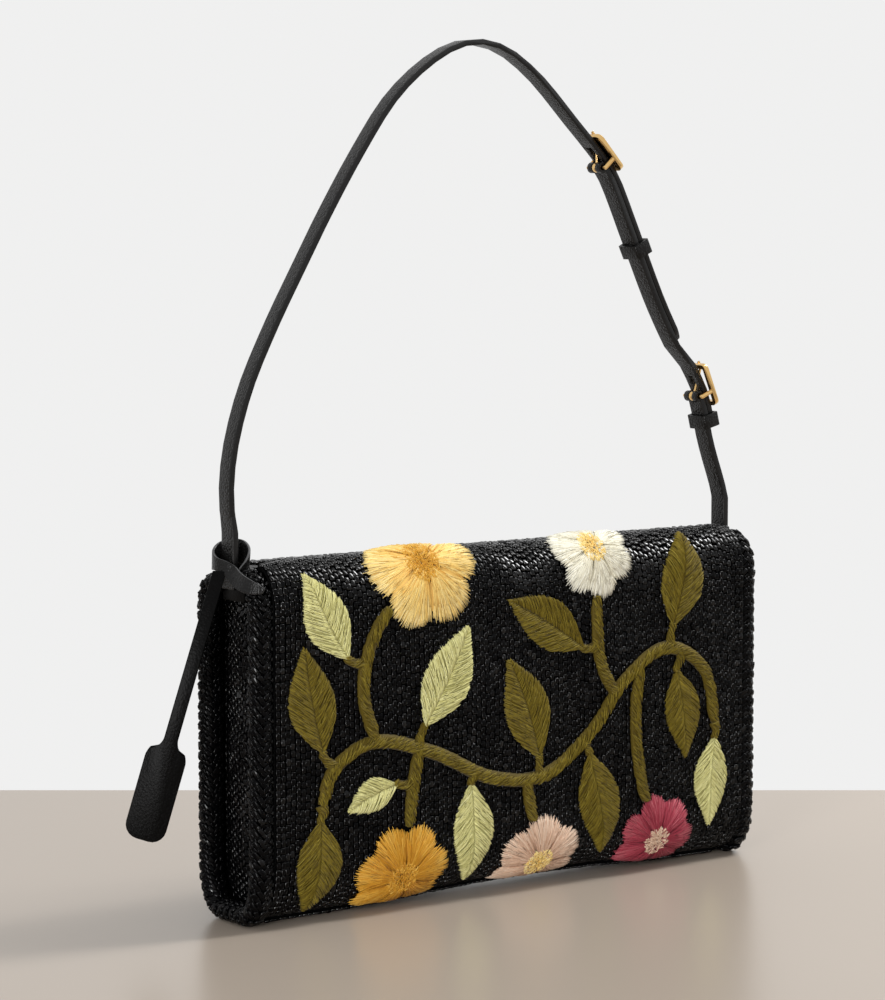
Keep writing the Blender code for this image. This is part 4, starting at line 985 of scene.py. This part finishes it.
def stitched(name, node, thread, drawn_paths, rises, tones):
    """One piece of many stitches. drawn_paths is their places on the drawn front, with
    STITCH_SECTIONS + 1 points each, and rises their height there above the beads."""
    x, v, rises = into_mouth(drawn_paths[..., 0], drawn_paths[..., 1], rises)
    line = on_cloth(x, v, rises)
    up = unit(on_cloth(x, v, rises + 0.001) - line)
    heading = np.gradient(line, axis=1)
    across = np.cross(heading, up)
    across /= np.linalg.norm(across, axis=-1, keepdims=True) + 1e-12
    taper = np.full(STITCH_SECTIONS + 1, 1.0)
    taper[[0, -1]] = THREAD_TAPER
    station = STITCH_STATION
    size = taper[station][None, :, None]
    wide = STITCH_POINTS[:, 0] * THREAD_PLUMP[0] * THREAD_WIDTH
    tall = STITCH_POINTS[:, 1] * THREAD_RISE * THREAD_PLUMP[1]
    points = line[:, station] + size * (
        across[:, station] * wide[None, :, None] + up[:, station] * tall[None, :, None]
    )
    made = add_copies(name, points, STITCH_FACES)
    point_values(made, "tone", np.repeat(np.clip(tones, 0, 1), len(STITCH_POINTS)))
    made.data.materials.append(THREADS[thread])
    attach(made, "bag")
    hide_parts(node)


def padding(name, node, thread, shape, rise):
    """Felt under the stitches: a ball flattened into the outline that shape gives. Its
    dark tone of the thread is painted shade in the gaps between the stitches.
    """
    sphere = bpy.ops.mesh.primitive_uv_sphere_add
    made = start_from(sphere, segments=48, ring_count=14, radius=1.0)
    made.name = name
    ball = np.array([v.co for v in made.data.vertices])
    flat = shape(ball[:, 0], ball[:, 1])
    height = np.where(ball[:, 2] > 0, rise * np.sqrt(np.clip(ball[:, 2], 0, 1)), 0.0)
    laid = on_cloth(*into_mouth(flat[:, 0], flat[:, 1], height - PAD_SINK))
    made.data.vertices.foreach_set("co", laid.astype(np.float32).ravel())
    made.data.shade_smooth()
    point_values(made, "tone", np.full(len(ball), PAD_PAINTED_SHADE))
    made.data.materials.append(THREADS[thread])
    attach(made, "bag")
    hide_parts(node)


# The leaves: rows of short overlapping stitches slant forward from the midrib to the
# edge on both sides, over padding that is thin along the midrib.
LEAF_SLANT = math.radians(44)
STITCH_LENGTH = 0.0036
STITCH_OVERLAP = 0.0006
SHORTEST_STITCH = 0.0006
STITCH_STAGGER = 0.22
STITCH_DIP = 0.00030
# Stitches start from before the foot to near the tip, as shares of the midrib.
LEAF_START, LEAF_END = -0.10, 0.99
LEAF_LIFT = 0.0002
LEAF_PAD_FILL, LEAF_PAD_TALL = 0.97, 0.8
VEIN_DEPTH, VEIN_HALF = 0.50, 0.0014
# How unevenly a hand lays the stitches of a leaf.
START_STRAY, SLANT_STRAY, SIDE_STRAY = 0.004, 0.06, 0.00007
NEAR_FRAY, FAR_FRAY, FAR_REACH = 0.0005, 0.00030, 0.0002
RISE_STRAY = 0.00012
LEAF_TONE, SIDE_TONE = 0.50, 0.06
ROW_TONE, STITCH_TONE = 0.13, 0.10


def overlapping(near, far, chance):
    """Splits each row into stitches that overlap end to end: row numbers and both ends."""
    count = np.maximum(1, np.round((far - near) / STITCH_LENGTH)).astype(int)
    rows, starts, ends = [], [], []
    for k in range(count.max()):
        row = np.nonzero(count > k)[0]
        step = (far[row] - near[row]) / count[row]
        shift = chance.normal(0, STITCH_STAGGER, len(row)) * step
        starts.append(near[row] + np.where(k > 0, k * step - STITCH_OVERLAP + shift, 0))
        last = count[row] == k + 1
        end = near[row] + (k + 1) * step + STITCH_OVERLAP + shift
        ends.append(np.where(last, far[row], end))
        rows.append(row)
    return np.concatenate(rows), np.concatenate(starts), np.concatenate(ends)


def leaf_stitches(leaf, chance):
    """Places, heights and tones of the stitches on both sides of one leaf."""
    count = int(leaf.length / THREAD_STEP)
    paths, rises, tones = [], [], []
    for side in (-1, 1):
        start = np.linspace(LEAF_START, LEAF_END, count)
        start = start + chance.normal(0, START_STRAY, count)
        slant = LEAF_SLANT + chance.normal(0, SLANT_STRAY, count)
        reach = np.linspace(0, 2.4 * leaf.half, 60)
        t = start[:, None] + reach[None] * np.cos(slant)[:, None] / leaf.length
        off = reach[None] * np.sin(slant)[:, None]
        inside = (t > 0) & (t < 1) & (off < leaf.breadth(t))
        far = np.where(inside, reach[None], 0).max(1)
        near = np.where(inside, reach[None], np.inf).min(1)
        long = far - near > SHORTEST_STITCH
        start, slant, far, near = start[long], slant[long], far[long], near[long]
        near = near - chance.uniform(0, NEAR_FRAY, len(near))
        far = far + chance.normal(FAR_REACH, FAR_FRAY, len(far))
        row, low, high = overlapping(near, far, chance)
        share = np.linspace(0, 1, STITCH_SECTIONS + 1)[None]
        r = low[:, None] + (high - low)[:, None] * share
        t = start[row, None] + r * np.cos(slant[row])[:, None] / leaf.length
        aside = chance.normal(0, SIDE_STRAY, len(row))
        off = r * np.sin(slant[row])[:, None] + aside[:, None]
        half = np.maximum(leaf.breadth(t), 0.001)
        bulge = np.sqrt(np.clip(1 - (off / half) ** 2, 0, 1))
        vein = VEIN_DEPTH * np.exp(-((off / VEIN_HALF) ** 2))
        rise = LEAF_LIFT + PAD_RISE * bulge * (1 - vein)
        rise += chance.normal(0, RISE_STRAY, len(row))[:, None]
        rise -= STITCH_DIP * (2 * share - 1) ** 4
        paths.append(leaf.at(t, side * off))
        rises.append(rise)
        light = LEAF_TONE + SIDE_TONE * side + chance.normal(0, ROW_TONE, len(start))
        tones.append(light[row] + chance.normal(0, STITCH_TONE, len(row)))
    return np.concatenate(paths), np.concatenate(rises), np.concatenate(tones)


for k, (name, _, _, _, thread) in enumerate(LEAVES):
    leaf = drawn_leaves[name]

    def leaf_shape(a, b, leaf=leaf):
        t = 0.5 + 0.5 * a
        width = leaf.breadth(t) * b / np.sqrt(np.clip(1 - a * a, 1e-4, 1))
        return leaf.at(t, np.clip(width, -leaf.half, leaf.half) * LEAF_PAD_FILL)

    padding(name + "_padding", name, thread, leaf_shape, PAD_RISE * LEAF_PAD_TALL)
    chance = np.random.default_rng(40 + k)
    stitched(name + "_stitches", name, thread, *leaf_stitches(leaf, chance))


# The stems: narrow rolls of padding covered by many short stitches that cross them at a
# slant, and which also run on to each leaf as a thinner stalk.
STEM_SLANT = math.radians(33)
STEM_RISE = 0.0019
STEM_STEP = 0.0015
STEM_DIP = 0.00035
STEM_LANES = 0.62
# A stalk's breadth falls to its width from this share over it, in this share of its length.
STALK_FLARE, STALK_FLARE_OVER = 0.55, 0.6
STEM_END, STEM_END_LEAST = 0.9, 0.05
STEM_COVERING = 1.15
STEM_PAD_WIDE, STEM_PAD_TALL = 0.92, 0.86
STEM_PAD_SINK = 0.0002
# The stem padding's dark tone is painted shade, seen between the stitches.
STEM_PAD_PAINTED_SHADE = 0.12
# How unevenly the stitches of a stem lie.
STEM_OVERRUN = 0.0004
STEM_SLANT_STRAY, STEM_LENGTH_STRAY = 0.10, 0.15
STEM_EDGE_OUT, STEM_EDGE_STRAY = 0.02, 0.05
STEM_RISE_STRAY = 0.00010
STEM_TONE_STRAY = 0.15


def stem_breadth(along, length, width):
    """Breadth shares along a stem, whose ends are round, or a stalk, broad at its stem."""
    if width < STEM_WIDTH:
        return 1 + STALK_FLARE - STALK_FLARE * ease(along / (STALK_FLARE_OVER * length))
    near_end = np.minimum(along, length - along) / (STEM_END * width)
    return 0.5 + 0.5 * np.sqrt(np.clip(near_end, STEM_END_LEAST, 1))


def stem_stitches(path, width, chance):
    """Places, heights and tones of the stitches along one stem or stalk."""
    length = lengths_along(path)
    count = int(length[-1] * width / (THREAD_WIDTH * STITCH_LENGTH) * STEM_COVERING)
    middle = chance.uniform(-STEM_OVERRUN, length[-1] + STEM_OVERRUN, count)
    width = width * stem_breadth(middle, length[-1], width)
    lane = chance.uniform(-STEM_LANES, STEM_LANES, count) * width / 2
    slant = STEM_SLANT + chance.normal(0, STEM_SLANT_STRAY, count)
    share = np.linspace(-0.5, 0.5, STITCH_SECTIONS + 1)[None]
    half = STITCH_LENGTH * (1 + chance.normal(0, STEM_LENGTH_STRAY, count))
    across = lane[:, None] + half[:, None] * share * np.sin(slant)[:, None]
    along = middle[:, None] + half[:, None] * share * np.cos(slant)[:, None]
    edge = width / 2 * (1 + chance.normal(STEM_EDGE_OUT, STEM_EDGE_STRAY, count))
    edge = edge[:, None]
    across = np.clip(across, -edge, edge)
    along = np.clip(along, 0, length[-1])
    heading = unit(np.gradient(path, axis=0))
    line = np.stack([np.interp(along, length, path[:, k]) for k in (0, 1)], -1)
    turned = np.stack([np.interp(along, length, heading[:, k]) for k in (0, 1)], -1)
    sideways = np.stack([-turned[..., 1], turned[..., 0]], -1)
    places = line + across[..., None] * sideways
    bulge = np.sqrt(np.clip(1 - (across / (width[:, None] / 2) * 0.95) ** 2, 0, 1))
    rises = STEM_RISE * (width[:, None] / STEM_WIDTH) ** 0.7 * bulge
    rises = rises + chance.normal(0, STEM_RISE_STRAY, count)[:, None]
    rises = rises - STEM_DIP * (2 * share) ** 4
    return places, rises, 0.5 + chance.normal(0, STEM_TONE_STRAY, count)


for k, (name, (path, width)) in enumerate(stem_paths.items()):
    line = even(path, STEM_STEP)
    points, faces, station = bar(8, len(line) - 1)
    heading = unit(np.gradient(line, axis=0))
    across = np.stack([-heading[:, 1], heading[:, 0]], 1)
    along = np.linspace(0, STEM_STEP * (len(line) - 1), len(line))
    breadth = (width * stem_breadth(along, along[-1], width))[station]
    flat = line[station] + (points[:, 0] * breadth * STEM_PAD_WIDE)[:, None] * across[station]
    tall = STEM_RISE * (breadth / STEM_WIDTH) ** 0.7
    height = np.clip(points[:, 1] * 2, -0.2, 1) * tall * STEM_PAD_TALL - STEM_PAD_SINK
    laid = on_cloth(flat[:, 0], flat[:, 1], height)
    pad = add_mesh(name + "_padding", laid, faces)
    pad.data.shade_smooth()
    # A dark tone: painted shade between the stitches.
    point_values(pad, "tone", np.full(len(laid), STEM_PAD_PAINTED_SHADE))
    pad.data.materials.append(THREADS["olive"])
    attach(pad, "bag")
    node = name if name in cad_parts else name.replace("_stalk", "")
    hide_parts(node)
    chance = np.random.default_rng(70 + k)
    stitched(name + "_stitches", node, "olive", *stem_stitches(path, width, chance))


# The flowers: three rings of stitches fan out over each petal, paler towards its edge,
# and short ones in a second colour crowd over the middle.
FLOWER_THREADS = {
    "flower_ochre": ("ochre", "ochre"),
    "flower_blush": ("blush", "yellow"),
    "flower_crimson": ("crimson", "blush"),
    "flower_yellow": ("yellow", "ochre"),
    "flower_ivory": ("ivory", "yellow"),
}
# Each ring's nearest and farthest share, its fray, its lift and its tone.
FLOWER_RINGS = (
    ("petals", 0.52, 1.00, 0.030, 0.0000, 0.66),
    ("petal_middles", 0.30, 0.78, 0.075, 0.0002, 0.54),
    ("petal_feet", 0.16, 0.54, 0.140, 0.0003, 0.40),
)
FLOWER_RISE = 0.0019
FLOWER_DIP = 0.0003
FLOWER_PAD_FILL, FLOWER_PAD_TALL = 0.94, 0.9
PETAL_CROWDING = 0.62
PETAL_VALLEY_DEPTH = 0.42
PETAL_VALLEY_TONE = 0.16
PETAL_GATHER, PETAL_GATHER_OVER = 0.30, 0.85
PETAL_DOME = 1.05
PETAL_TURN_STRAY, PETAL_START_STRAY, PETAL_TIP_STRAY = 0.012, 0.20, 0.022
PETAL_TONE_STRAY = 0.13
HEART_SHARE = 0.30
HEART_STITCH, HEART_STEP = 0.0021, 0.0016
HEART_LAYERS = 6
HEART_RISE, HEART_DIP = 0.0005, 0.0005
HEART_EDGE, HEART_DISH = 0.98, 0.10
HEART_LEAN_STRAY, HEART_LENGTH_STRAY, HEART_RISE_STRAY = 0.8, 0.2, 0.00015
HEART_TONE, HEART_EDGE_TONE, HEART_TONE_STRAY = 0.42, 0.22, 0.14


def petal_stitches(flower, near, far, fray, lift, chance, light):
    """Stitches from share near to share far of the flower's reach. Those of one petal
    draw together towards its foot."""
    _, centre, radius, petals, turn = flower
    size = radius * HEIGHT
    count = int(2 * math.pi * size * far / (THREAD_STEP * PETAL_CROWDING))
    angle = np.linspace(0, 2 * math.pi, count, endpoint=False)
    angle += chance.normal(0, PETAL_TURN_STRAY, count)
    sector = 2 * math.pi / petals
    axis = np.round(angle / sector) * sector
    beside = (angle - axis) / (sector / 2)
    start = near * (1 + chance.normal(0, PETAL_START_STRAY, count))
    reach = far * petal_reach(angle, petals) / petal_reach(0, petals)
    end = reach * (1 + chance.normal(0, fray, count))
    share = np.linspace(0, 1, STITCH_SECTIONS + 1)[None]
    level = start[:, None] + (end - start)[:, None] * share
    r = size * level
    drawn_in = 1 - PETAL_GATHER * np.clip(1 - level / PETAL_GATHER_OVER, 0, 1)
    stray = chance.normal(0, PETAL_TIP_STRAY, count)[:, None] * share
    turned = axis[:, None] + (angle - axis)[:, None] * drawn_in + turn + stray
    places = np.stack([r * np.cos(turned), r * np.sin(turned)], -1) + drawn(centre)
    dome = np.sqrt(np.clip(1 - (level / PETAL_DOME) ** 2, 0, 1))
    between = (np.abs(beside) ** 3)[:, None] * np.clip(level * 2 - 0.4, 0, 1)
    valley = 1 - PETAL_VALLEY_DEPTH * between
    rises = lift + FLOWER_RISE * dome * valley
    rises = rises + chance.normal(0, RISE_STRAY, count)[:, None]
    rises = rises - FLOWER_DIP * (1 - share) ** 4
    tones = light - PETAL_VALLEY_TONE * np.abs(beside) ** 2
    return places, rises, tones + chance.normal(0, PETAL_TONE_STRAY, count)


def heart_stitches(flower, chance):
    """Short stitches crowded over the middle of a flower, pointing outwards."""
    _, centre, radius, _, _ = flower
    size = radius * HEIGHT * HEART_SHARE
    count = int(size**2 / (THREAD_WIDTH * HEART_STEP) * HEART_LAYERS)
    r = size * np.sqrt(chance.random(count))
    angle = chance.uniform(0, 2 * math.pi, count)
    lean = angle + chance.normal(0, HEART_LEAN_STRAY, count)
    share = np.linspace(-0.5, 0.5, STITCH_SECTIONS + 1)[None]
    length = HEART_STITCH * (1 + chance.normal(0, HEART_LENGTH_STRAY, count))
    x = (r * np.cos(angle))[:, None] + length[:, None] * share * np.cos(lean)[:, None]
    v = (r * np.sin(angle))[:, None] + length[:, None] * share * np.sin(lean)[:, None]
    places = np.stack([x, v], -1) + drawn(centre)
    level = np.hypot(x, v) / (size + 0.001)
    dish = FLOWER_RISE * (HEART_EDGE - HEART_DISH * np.clip(1 - level, 0, 1))
    rises = dish + HEART_RISE + chance.normal(0, HEART_RISE_STRAY, count)[:, None]
    rises = rises - HEART_DIP * (2 * share) ** 4
    tones = HEART_TONE + HEART_EDGE_TONE * r / size
    return places, rises, tones + chance.normal(0, HEART_TONE_STRAY, count)


for k, flower in enumerate(FLOWERS):
    name, centre, radius, petals, turn = flower
    thread, heart = FLOWER_THREADS[name]
    size = radius * HEIGHT

    def flower_shape(a, b):
        angle = np.arctan2(b, a)
        r = np.hypot(a, b) * size * petal_reach(angle, petals) * FLOWER_PAD_FILL
        angle = angle + turn
        return np.stack([r * np.cos(angle), r * np.sin(angle)], -1) + drawn(centre)

    padding(name + "_padding", name, thread, flower_shape, FLOWER_RISE * FLOWER_PAD_TALL)
    chance = np.random.default_rng(100 + k)
    for part, near, far, fray, lift, light in FLOWER_RINGS:
        paths = petal_stitches(flower, near, far, fray, lift, chance, light)
        stitched(name + "_" + part, name, thread, *paths)
    stitched(name + "_heart", name, heart, *heart_stitches(flower, chance))


# The strap: three lengths of doubled black calf with a fine pebbled grain, folded round
# the buckles' bars and sewn. Its cut edges are sealed and smooth. Leather pieces are
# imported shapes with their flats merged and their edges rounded.
STRAP_FACE = 0.0038
STRAP_ROUND = 0.00045
# The long length stands out a little at its foot, on the left.
STRAP_LEFT = -0.12
STRAP_SHIFT, SHIFT_HEIGHT, SHIFT_OVER = 0.00035, 0.1708, 0.006
LEATHER_DARK, LEATHER_LIGHT = (0.0028, 0.0027, 0.0027), (0.0075, 0.0072, 0.0072)
CREASE = math.radians(32)
FLAT_TURN = math.radians(0.6)
ROUNDED_TURN = 35
NECK_DROP = 0.0034
NECK_EDGE = 0.0004
SHOULDER_TURNS = (0.4, 0.7)


def leather_finish(name, scale, depth, smooth_edges, shade=1.0, shine=0.26):
    """Calf with this many pebbles a metre, this deep. A strap's cut edges have none."""
    made, shader, nodes, links = fresh_material(name)
    place = add_node(nodes, "TexCoord")
    pebble = add_node(nodes, "TexVoronoi", Scale=scale, Randomness=0.9)
    wrinkle = add_node(nodes, "TexNoise", Scale=scale * 0.35, Detail=4.0)
    height = add_node(nodes, "Math")
    height.operation = "MULTIPLY_ADD"
    height.inputs[1].default_value = 0.5
    bump = add_node(nodes, "Bump", Distance=depth, Strength=1.0)
    bump.invert = True
    light, dark = ([part * shade for part in tint] for tint in (LEATHER_LIGHT, LEATHER_DARK))
    tint = tint_ramp(nodes, light, dark)
    wire(
        links,
        (place, "Object", pebble, "Vector"),
        (place, "Object", wrinkle, "Vector"),
        (wrinkle, "Fac", height, 0),
        (pebble, "Distance", height, 2),
        (pebble, "Distance", tint, "Fac"),
        (tint, "Color", shader, "Base Color"),
        (height, 0, bump, "Height"),
        (bump, "Normal", shader, "Normal"),
    )
    if smooth_edges:
        apart = add_node(nodes, "SeparateXYZ")
        across = add_node(nodes, "Math")
        across.operation = "ABSOLUTE"
        face = add_node(nodes, "MapRange", To_Min=1.0, To_Max=0.05)
        face.inputs["From Min"].default_value = STRAP_FACE - 0.0003
        face.inputs["From Max"].default_value = STRAP_FACE + 0.0001
        wire(
            links,
            (place, "Object", apart, 0),
            (apart, "Y", across, 0),
            (across, 0, face, "Value"),
            (face, "Result", bump, "Strength"),
        )
    shader.inputs["Roughness"].default_value = 0.34
    shader.inputs["Specular IOR Level"].default_value = shine
    return made


def dressed(node, name, body, finish, edge, shoulder=0.0):
    """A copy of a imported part, its triangles merged to flat faces and its edges rounded.
    Where a flat piece has a neck, that ends lower, and its shoulders are cut round."""
    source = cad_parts[node].data
    points = np.array([v.co for v in source.vertices])
    made = add_mesh(name, points, [np.array([list(p.vertices) for p in source.polygons])])
    shape = bmesh.new()
    shape.from_mesh(made.data)
    bmesh.ops.remove_doubles(shape, verts=shape.verts, dist=0.000002)
    bmesh.ops.dissolve_limit(shape, angle_limit=FLAT_TURN, verts=shape.verts, edges=shape.edges)
    if shoulder:
        facing = max(shape.faces, key=lambda face: face.calc_area()).normal.copy()
        longest = max(shape.edges, key=lambda edge: edge.calc_length())
        down = longest.verts[1].co - longest.verts[0].co
        down = down * (-math.copysign(NECK_DROP, down.z) / down.length)
        turned, lowered = set(), set()
        for e in shape.edges:
            apart = e.verts[1].co - e.verts[0].co
            through = abs(apart.dot(facing)) > 0.9 * apart.length > NECK_EDGE
            if through and SHOULDER_TURNS[0] < e.calc_face_angle(0) < SHOULDER_TURNS[1]:
                column = {e}
                for corner in e.verts:
                    others = [other for other in corner.link_edges if other is not e]
                    column.add(min(others, key=lambda other: other.calc_length()))
                turned |= column
                if e.calc_face_angle_signed() < 0:
                    lowered |= {corner for other in column for corner in other.verts}
        for corner in lowered:
            corner.co += down
        turned = sorted(turned, key=lambda edge: edge.index)
        bmesh.ops.bevel(
            shape, geom=turned, offset=shoulder, segments=6, profile=0.5, affect="EDGES"
        )
    shape.to_mesh(made.data)
    shape.free()
    round_edges(made, edge, 2, ROUNDED_TURN)
    made.data.shade_smooth()
    made.data.set_sharp_from_angle(angle=CREASE)
    made.data.materials.append(finish)
    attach(made, body)
    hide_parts(node)
    return made


strap_leather = leather_finish("strap_leather", 1000.0, 0.00036, True)
for node in ("long_strap", "middle_strap", "short_strap"):
    name = node + "_leather"
    strap = dressed(node, name, "strap", strap_leather, STRAP_ROUND)
    for corner in strap.data.vertices:
        if corner.co.x < STRAP_LEFT:
            near = max(0.0, 1 - abs(corner.co.z - SHIFT_HEIGHT) / SHIFT_OVER)
            corner.co.x += STRAP_SHIFT * near


# The keepers: bands of thinner leather closed round the strap, which slide along it
# and hold its tip down.
LEATHER_ROUND = 0.0004

tag_leather = leather_finish("tag_leather", 950.0, 0.00020, False, 0.8, 0.20)
for end in ("upper", "lower"):
    keeper = end + "_keeper"
    name = keeper + "_leather"
    dressed(keeper, name, keeper, tag_leather, LEATHER_ROUND)


# The tag: a smooth plain piece of the same calf, cut with round shoulders under a neck.
# The neck goes under the loop that hangs it from the strap's foot. Its calf is darkened to under
# a third: partly the tag's own black, and partly painted shade where it hangs at the bag's end.
TAG_SHOULDER = 0.0023
TAG_TOP, TAG_TUCK = 0.1462, 0.88

# A darker copy of the calf: partly the tag's own black, and partly painted shade.
black_calf_and_painted_shade = leather_finish("black_calf_and_painted_shade", 950.0, 0.00007, False, 0.30, 0.05)
tag = dressed(
    "leather_tag", "tag_leather", "tag", black_calf_and_painted_shade, LEATHER_ROUND,
    shoulder=TAG_SHOULDER,
)
for corner in tag.data.vertices:
    corner.co.z -= TAG_TUCK * max(0.0, corner.co.z - TAG_TOP)


# The end tabs: smooth leather folded over the zip's end and the gusset's top, and sewn
# down. They carry the strap. They take the tag's darkened calf: partly their own black, and
# partly painted shade where they lie under the loop.
TAB_FOOT, TAB_TOP = 0.1335, 0.1468
TAB_CROWN = 0.4

for end in ("left", "right"):
    name = "tab_leather_" + end
    tab = dressed("end_tab_" + end, name, "bag", black_calf_and_painted_shade, LEATHER_ROUND)
    for corner in tab.data.vertices:
        if corner.co.z < TAB_FOOT:
            corner.co.z = TAB_FOOT + (corner.co.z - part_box("end_tab_left")[0].z)
        elif corner.co.z > TAB_TOP:
            corner.co.z = TAB_TOP + TAB_CROWN * (corner.co.z - TAB_TOP)


# The tag's loop: a flat leather thong laid round the strap's foot, higher behind than in
# front, with its end carried down over the front roll. Its cut edges are sealed, and coloured
# much lighter than its face: a painted highlight along them.
LOOP_WALL = 0.0011
LOOP_ROUND = 0.00025
LOOP_GRID = (90, 6)
LOOP_STEP = 0.0007
# Places on its upper and its lower edge, in pairs.
LOOP_EDGES = (
    ((-0.1330, -0.0078, 0.1478), (-0.1340, -0.0074, 0.1440)),
    ((-0.1296, -0.0078, 0.1516), (-0.1302, -0.0074, 0.1466)),
    ((-0.1268, -0.0055, 0.1556), (-0.1272, -0.0050, 0.1470)),
    ((-0.1258, 0.0000, 0.1582), (-0.1264, 0.0000, 0.1475)),
    ((-0.1276, 0.0052, 0.1586), (-0.1280, 0.0050, 0.1478)),
    ((-0.1320, 0.0072, 0.1574), (-0.1320, 0.0070, 0.1475)),
    ((-0.1362, 0.0050, 0.1546), (-0.1364, 0.0050, 0.1465)),
    ((-0.1380, 0.0000, 0.1523), (-0.1384, 0.0000, 0.1467)),
    ((-0.1364, -0.0052, 0.1506), (-0.1376, -0.0056, 0.1448)),
    ((-0.1345, -0.0088, 0.1486), (-0.1374, -0.0090, 0.1426)),
    ((-0.1352, -0.0135, 0.1468), (-0.1378, -0.0130, 0.1408)),
    ((-0.1352, -0.0185, 0.1452), (-0.1374, -0.0178, 0.1394)),
    ((-0.1338, -0.0224, 0.1434), (-0.1354, -0.0220, 0.1388)),
    ((-0.1310, -0.0247, 0.1410), (-0.1323, -0.0244, 0.1390)),
)
upper_edge = even(smooth_path([pair[0] for pair in LOOP_EDGES]), LOOP_STEP)
lower_edge = even(smooth_path([pair[1] for pair in LOOP_EDGES]), LOOP_STEP)


def along_edge(edge, u):
    """Places at shares u of the way along one edge of the loop."""
    share = np.linspace(0, 1, len(edge))
    return np.stack([np.interp(u, share, edge[:, k]) for k in range(3)], 1)


def loop_place(u, w):
    upper, lower = along_edge(upper_edge, u), along_edge(lower_edge, u)
    return upper + (lower - upper) * w[:, None]


# The cut edges' light grey is a painted highlight, not the calf's colour.
sealed_edge_painted_highlight, shader, _, _ = fresh_material("sealed_edge_painted_highlight")
shader.inputs["Base Color"].default_value = (0.060, 0.060, 0.062, 1)
shader.inputs["Roughness"].default_value = 0.40
loop = laid_grid("tag_loop", *LOOP_GRID, LOOP_WALL, loop_place)
loop.data.materials.append(tag_leather)
loop.data.materials.append(sealed_edge_painted_highlight)
for rim_face in loop.data.polygons[2 * LOOP_GRID[0] * LOOP_GRID[1] :]:
    rim_face.material_index = 1
round_edges(loop, LOOP_ROUND, 2, 50)
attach(loop, "bag")
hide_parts("tag_knot")


# The strap's feet: a thin sleeve of the same leather at each end, sewn down inside the
# bag's end. It follows the strap's lean, and bends where the strap swings over.
FOOT_TOP = 0.1690
FOOT_LOW = 0.1385
LEAN_START = 0.1620
FOOT_WALL = 0.0004
FOOT_EDGE = 0.0005
FOOT_CUTS = 24
FOOT_LEANS = {"left": 0.1400, "right": 0.281}

for name, lean in FOOT_LEANS.items():
    node = "strap_anchor_" + name
    low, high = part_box(node)
    middle = (low.x + high.x) / 2
    foot = start_from(bpy.ops.mesh.primitive_cube_add, size=1.0)
    foot.name = "strap_foot_" + name
    foot.scale = (high.x - low.x + FOOT_WALL, high.y - low.y + FOOT_WALL, FOOT_TOP - FOOT_LOW)
    foot.location = (middle, 0, (FOOT_LOW + FOOT_TOP) / 2)
    settle_in_place(foot)
    work_edges(foot, upright, bpy.ops.mesh.subdivide, number_cuts=FOOT_CUTS)
    round_edges(foot, FOOT_EDGE, 3)
    for corner in foot.data.vertices:
        thin = FOOT_WALL * max(0.0, corner.co.z - LEAN_START) / (FOOT_TOP - LEAN_START)
        corner.co.x -= math.copysign(thin / 2, corner.co.x - middle)
        corner.co.y -= math.copysign(thin / 2, corner.co.y)
        corner.co.x -= lean * max(0.0, corner.co.z - LEAN_START)
    foot.data.shade_smooth()
    foot.data.set_sharp_from_angle(angle=CREASE)
    foot.data.materials.append(strap_leather)
    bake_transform(foot)
    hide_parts(node)


# The buckles: cast frames, each with a prong that turns on its bar, gold-plated and
# polished, with light wear in the gloss. Their gold is painted darker and lighter in patches:
# painted reflection.
FRAME_ROUND, PRONG_ROUND = 0.0004, 0.0002
# A darker and a lighter gold, mixed in patches as painted reflection.
GOLD_TINTS = ((0.66, 0.40, 0.13), (0.86, 0.60, 0.28))


def gold_finish():
    made, shader, nodes, links = fresh_material("gold_plate")
    place = add_node(nodes, "TexCoord")
    # Noise for the wear in the gloss, and for the painted reflection in the gold's tint.
    wear_and_painted_reflection = add_node(nodes, "TexNoise", Scale=320.0, Detail=4.0)
    gloss = add_node(nodes, "MapRange", To_Min=0.08, To_Max=0.20)
    tint = tint_ramp(nodes, *GOLD_TINTS)
    wire(
        links,
        (place, "Object", wear_and_painted_reflection, "Vector"),
        (wear_and_painted_reflection, "Fac", gloss, "Value"),
        (wear_and_painted_reflection, "Fac", tint, "Fac"),
        (tint, "Color", shader, "Base Color"),
        (gloss, "Result", shader, "Roughness"),
    )
    shader.inputs["Metallic"].default_value = 1.0
    return made


gold = gold_finish()
for end in ("upper", "lower"):
    node = end + "_buckle_frame"
    dressed(node, node + "_gold", "strap", gold, FRAME_ROUND)
    node = end + "_buckle_prong"
    dressed(node, node + "_gold", end + "_prong", gold, PRONG_ROUND)


# The zip's metal: two rows of teeth and a slider of the same plated metal, and on the
# slider a leather puller. It lies behind the crest.
ZIP_ROUND = 0.00025
SLIDER_TOP, SLIDER_TUCK = 0.1488, 0.6

slider = dressed("zip_slider", "zip_slider_gold", "slider", gold, ZIP_ROUND)
for corner in slider.data.vertices:
    corner.co.z -= SLIDER_TUCK * max(0.0, corner.co.z - SLIDER_TOP)
dressed("zip_puller", "zip_puller_leather", "puller", tag_leather, ZIP_ROUND)
for end in ("front", "back"):
    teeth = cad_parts["zip_teeth_" + end]
    teeth.data.materials.clear()
    teeth.data.materials.append(gold)


# The inside: a black cotton pouch with a slip pocket, the zip's woven tapes, and the
# stiff board that keeps the base flat.
lining_cotton = cotton_finish("lining_cotton", (0.006, 0.006, 0.007), (0.020, 0.020, 0.022))
for node, body, edge in (
    ("lining", "bag", 0.0003),
    ("slip_pocket", "bag", 0.0003),
    ("zip_tape_front", "zip_front", 0.0001),
    ("zip_tape_back", "zip_back", 0.0001),
    ("zip_end_left", "bag", 0.0001),
    ("zip_end_right", "bag", 0.0001),
):
    dressed(node, node + "_cotton", body, lining_cotton, edge)
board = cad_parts["base_stiffener"]
board.data.materials.clear()
board.data.materials.append(lining_cotton)
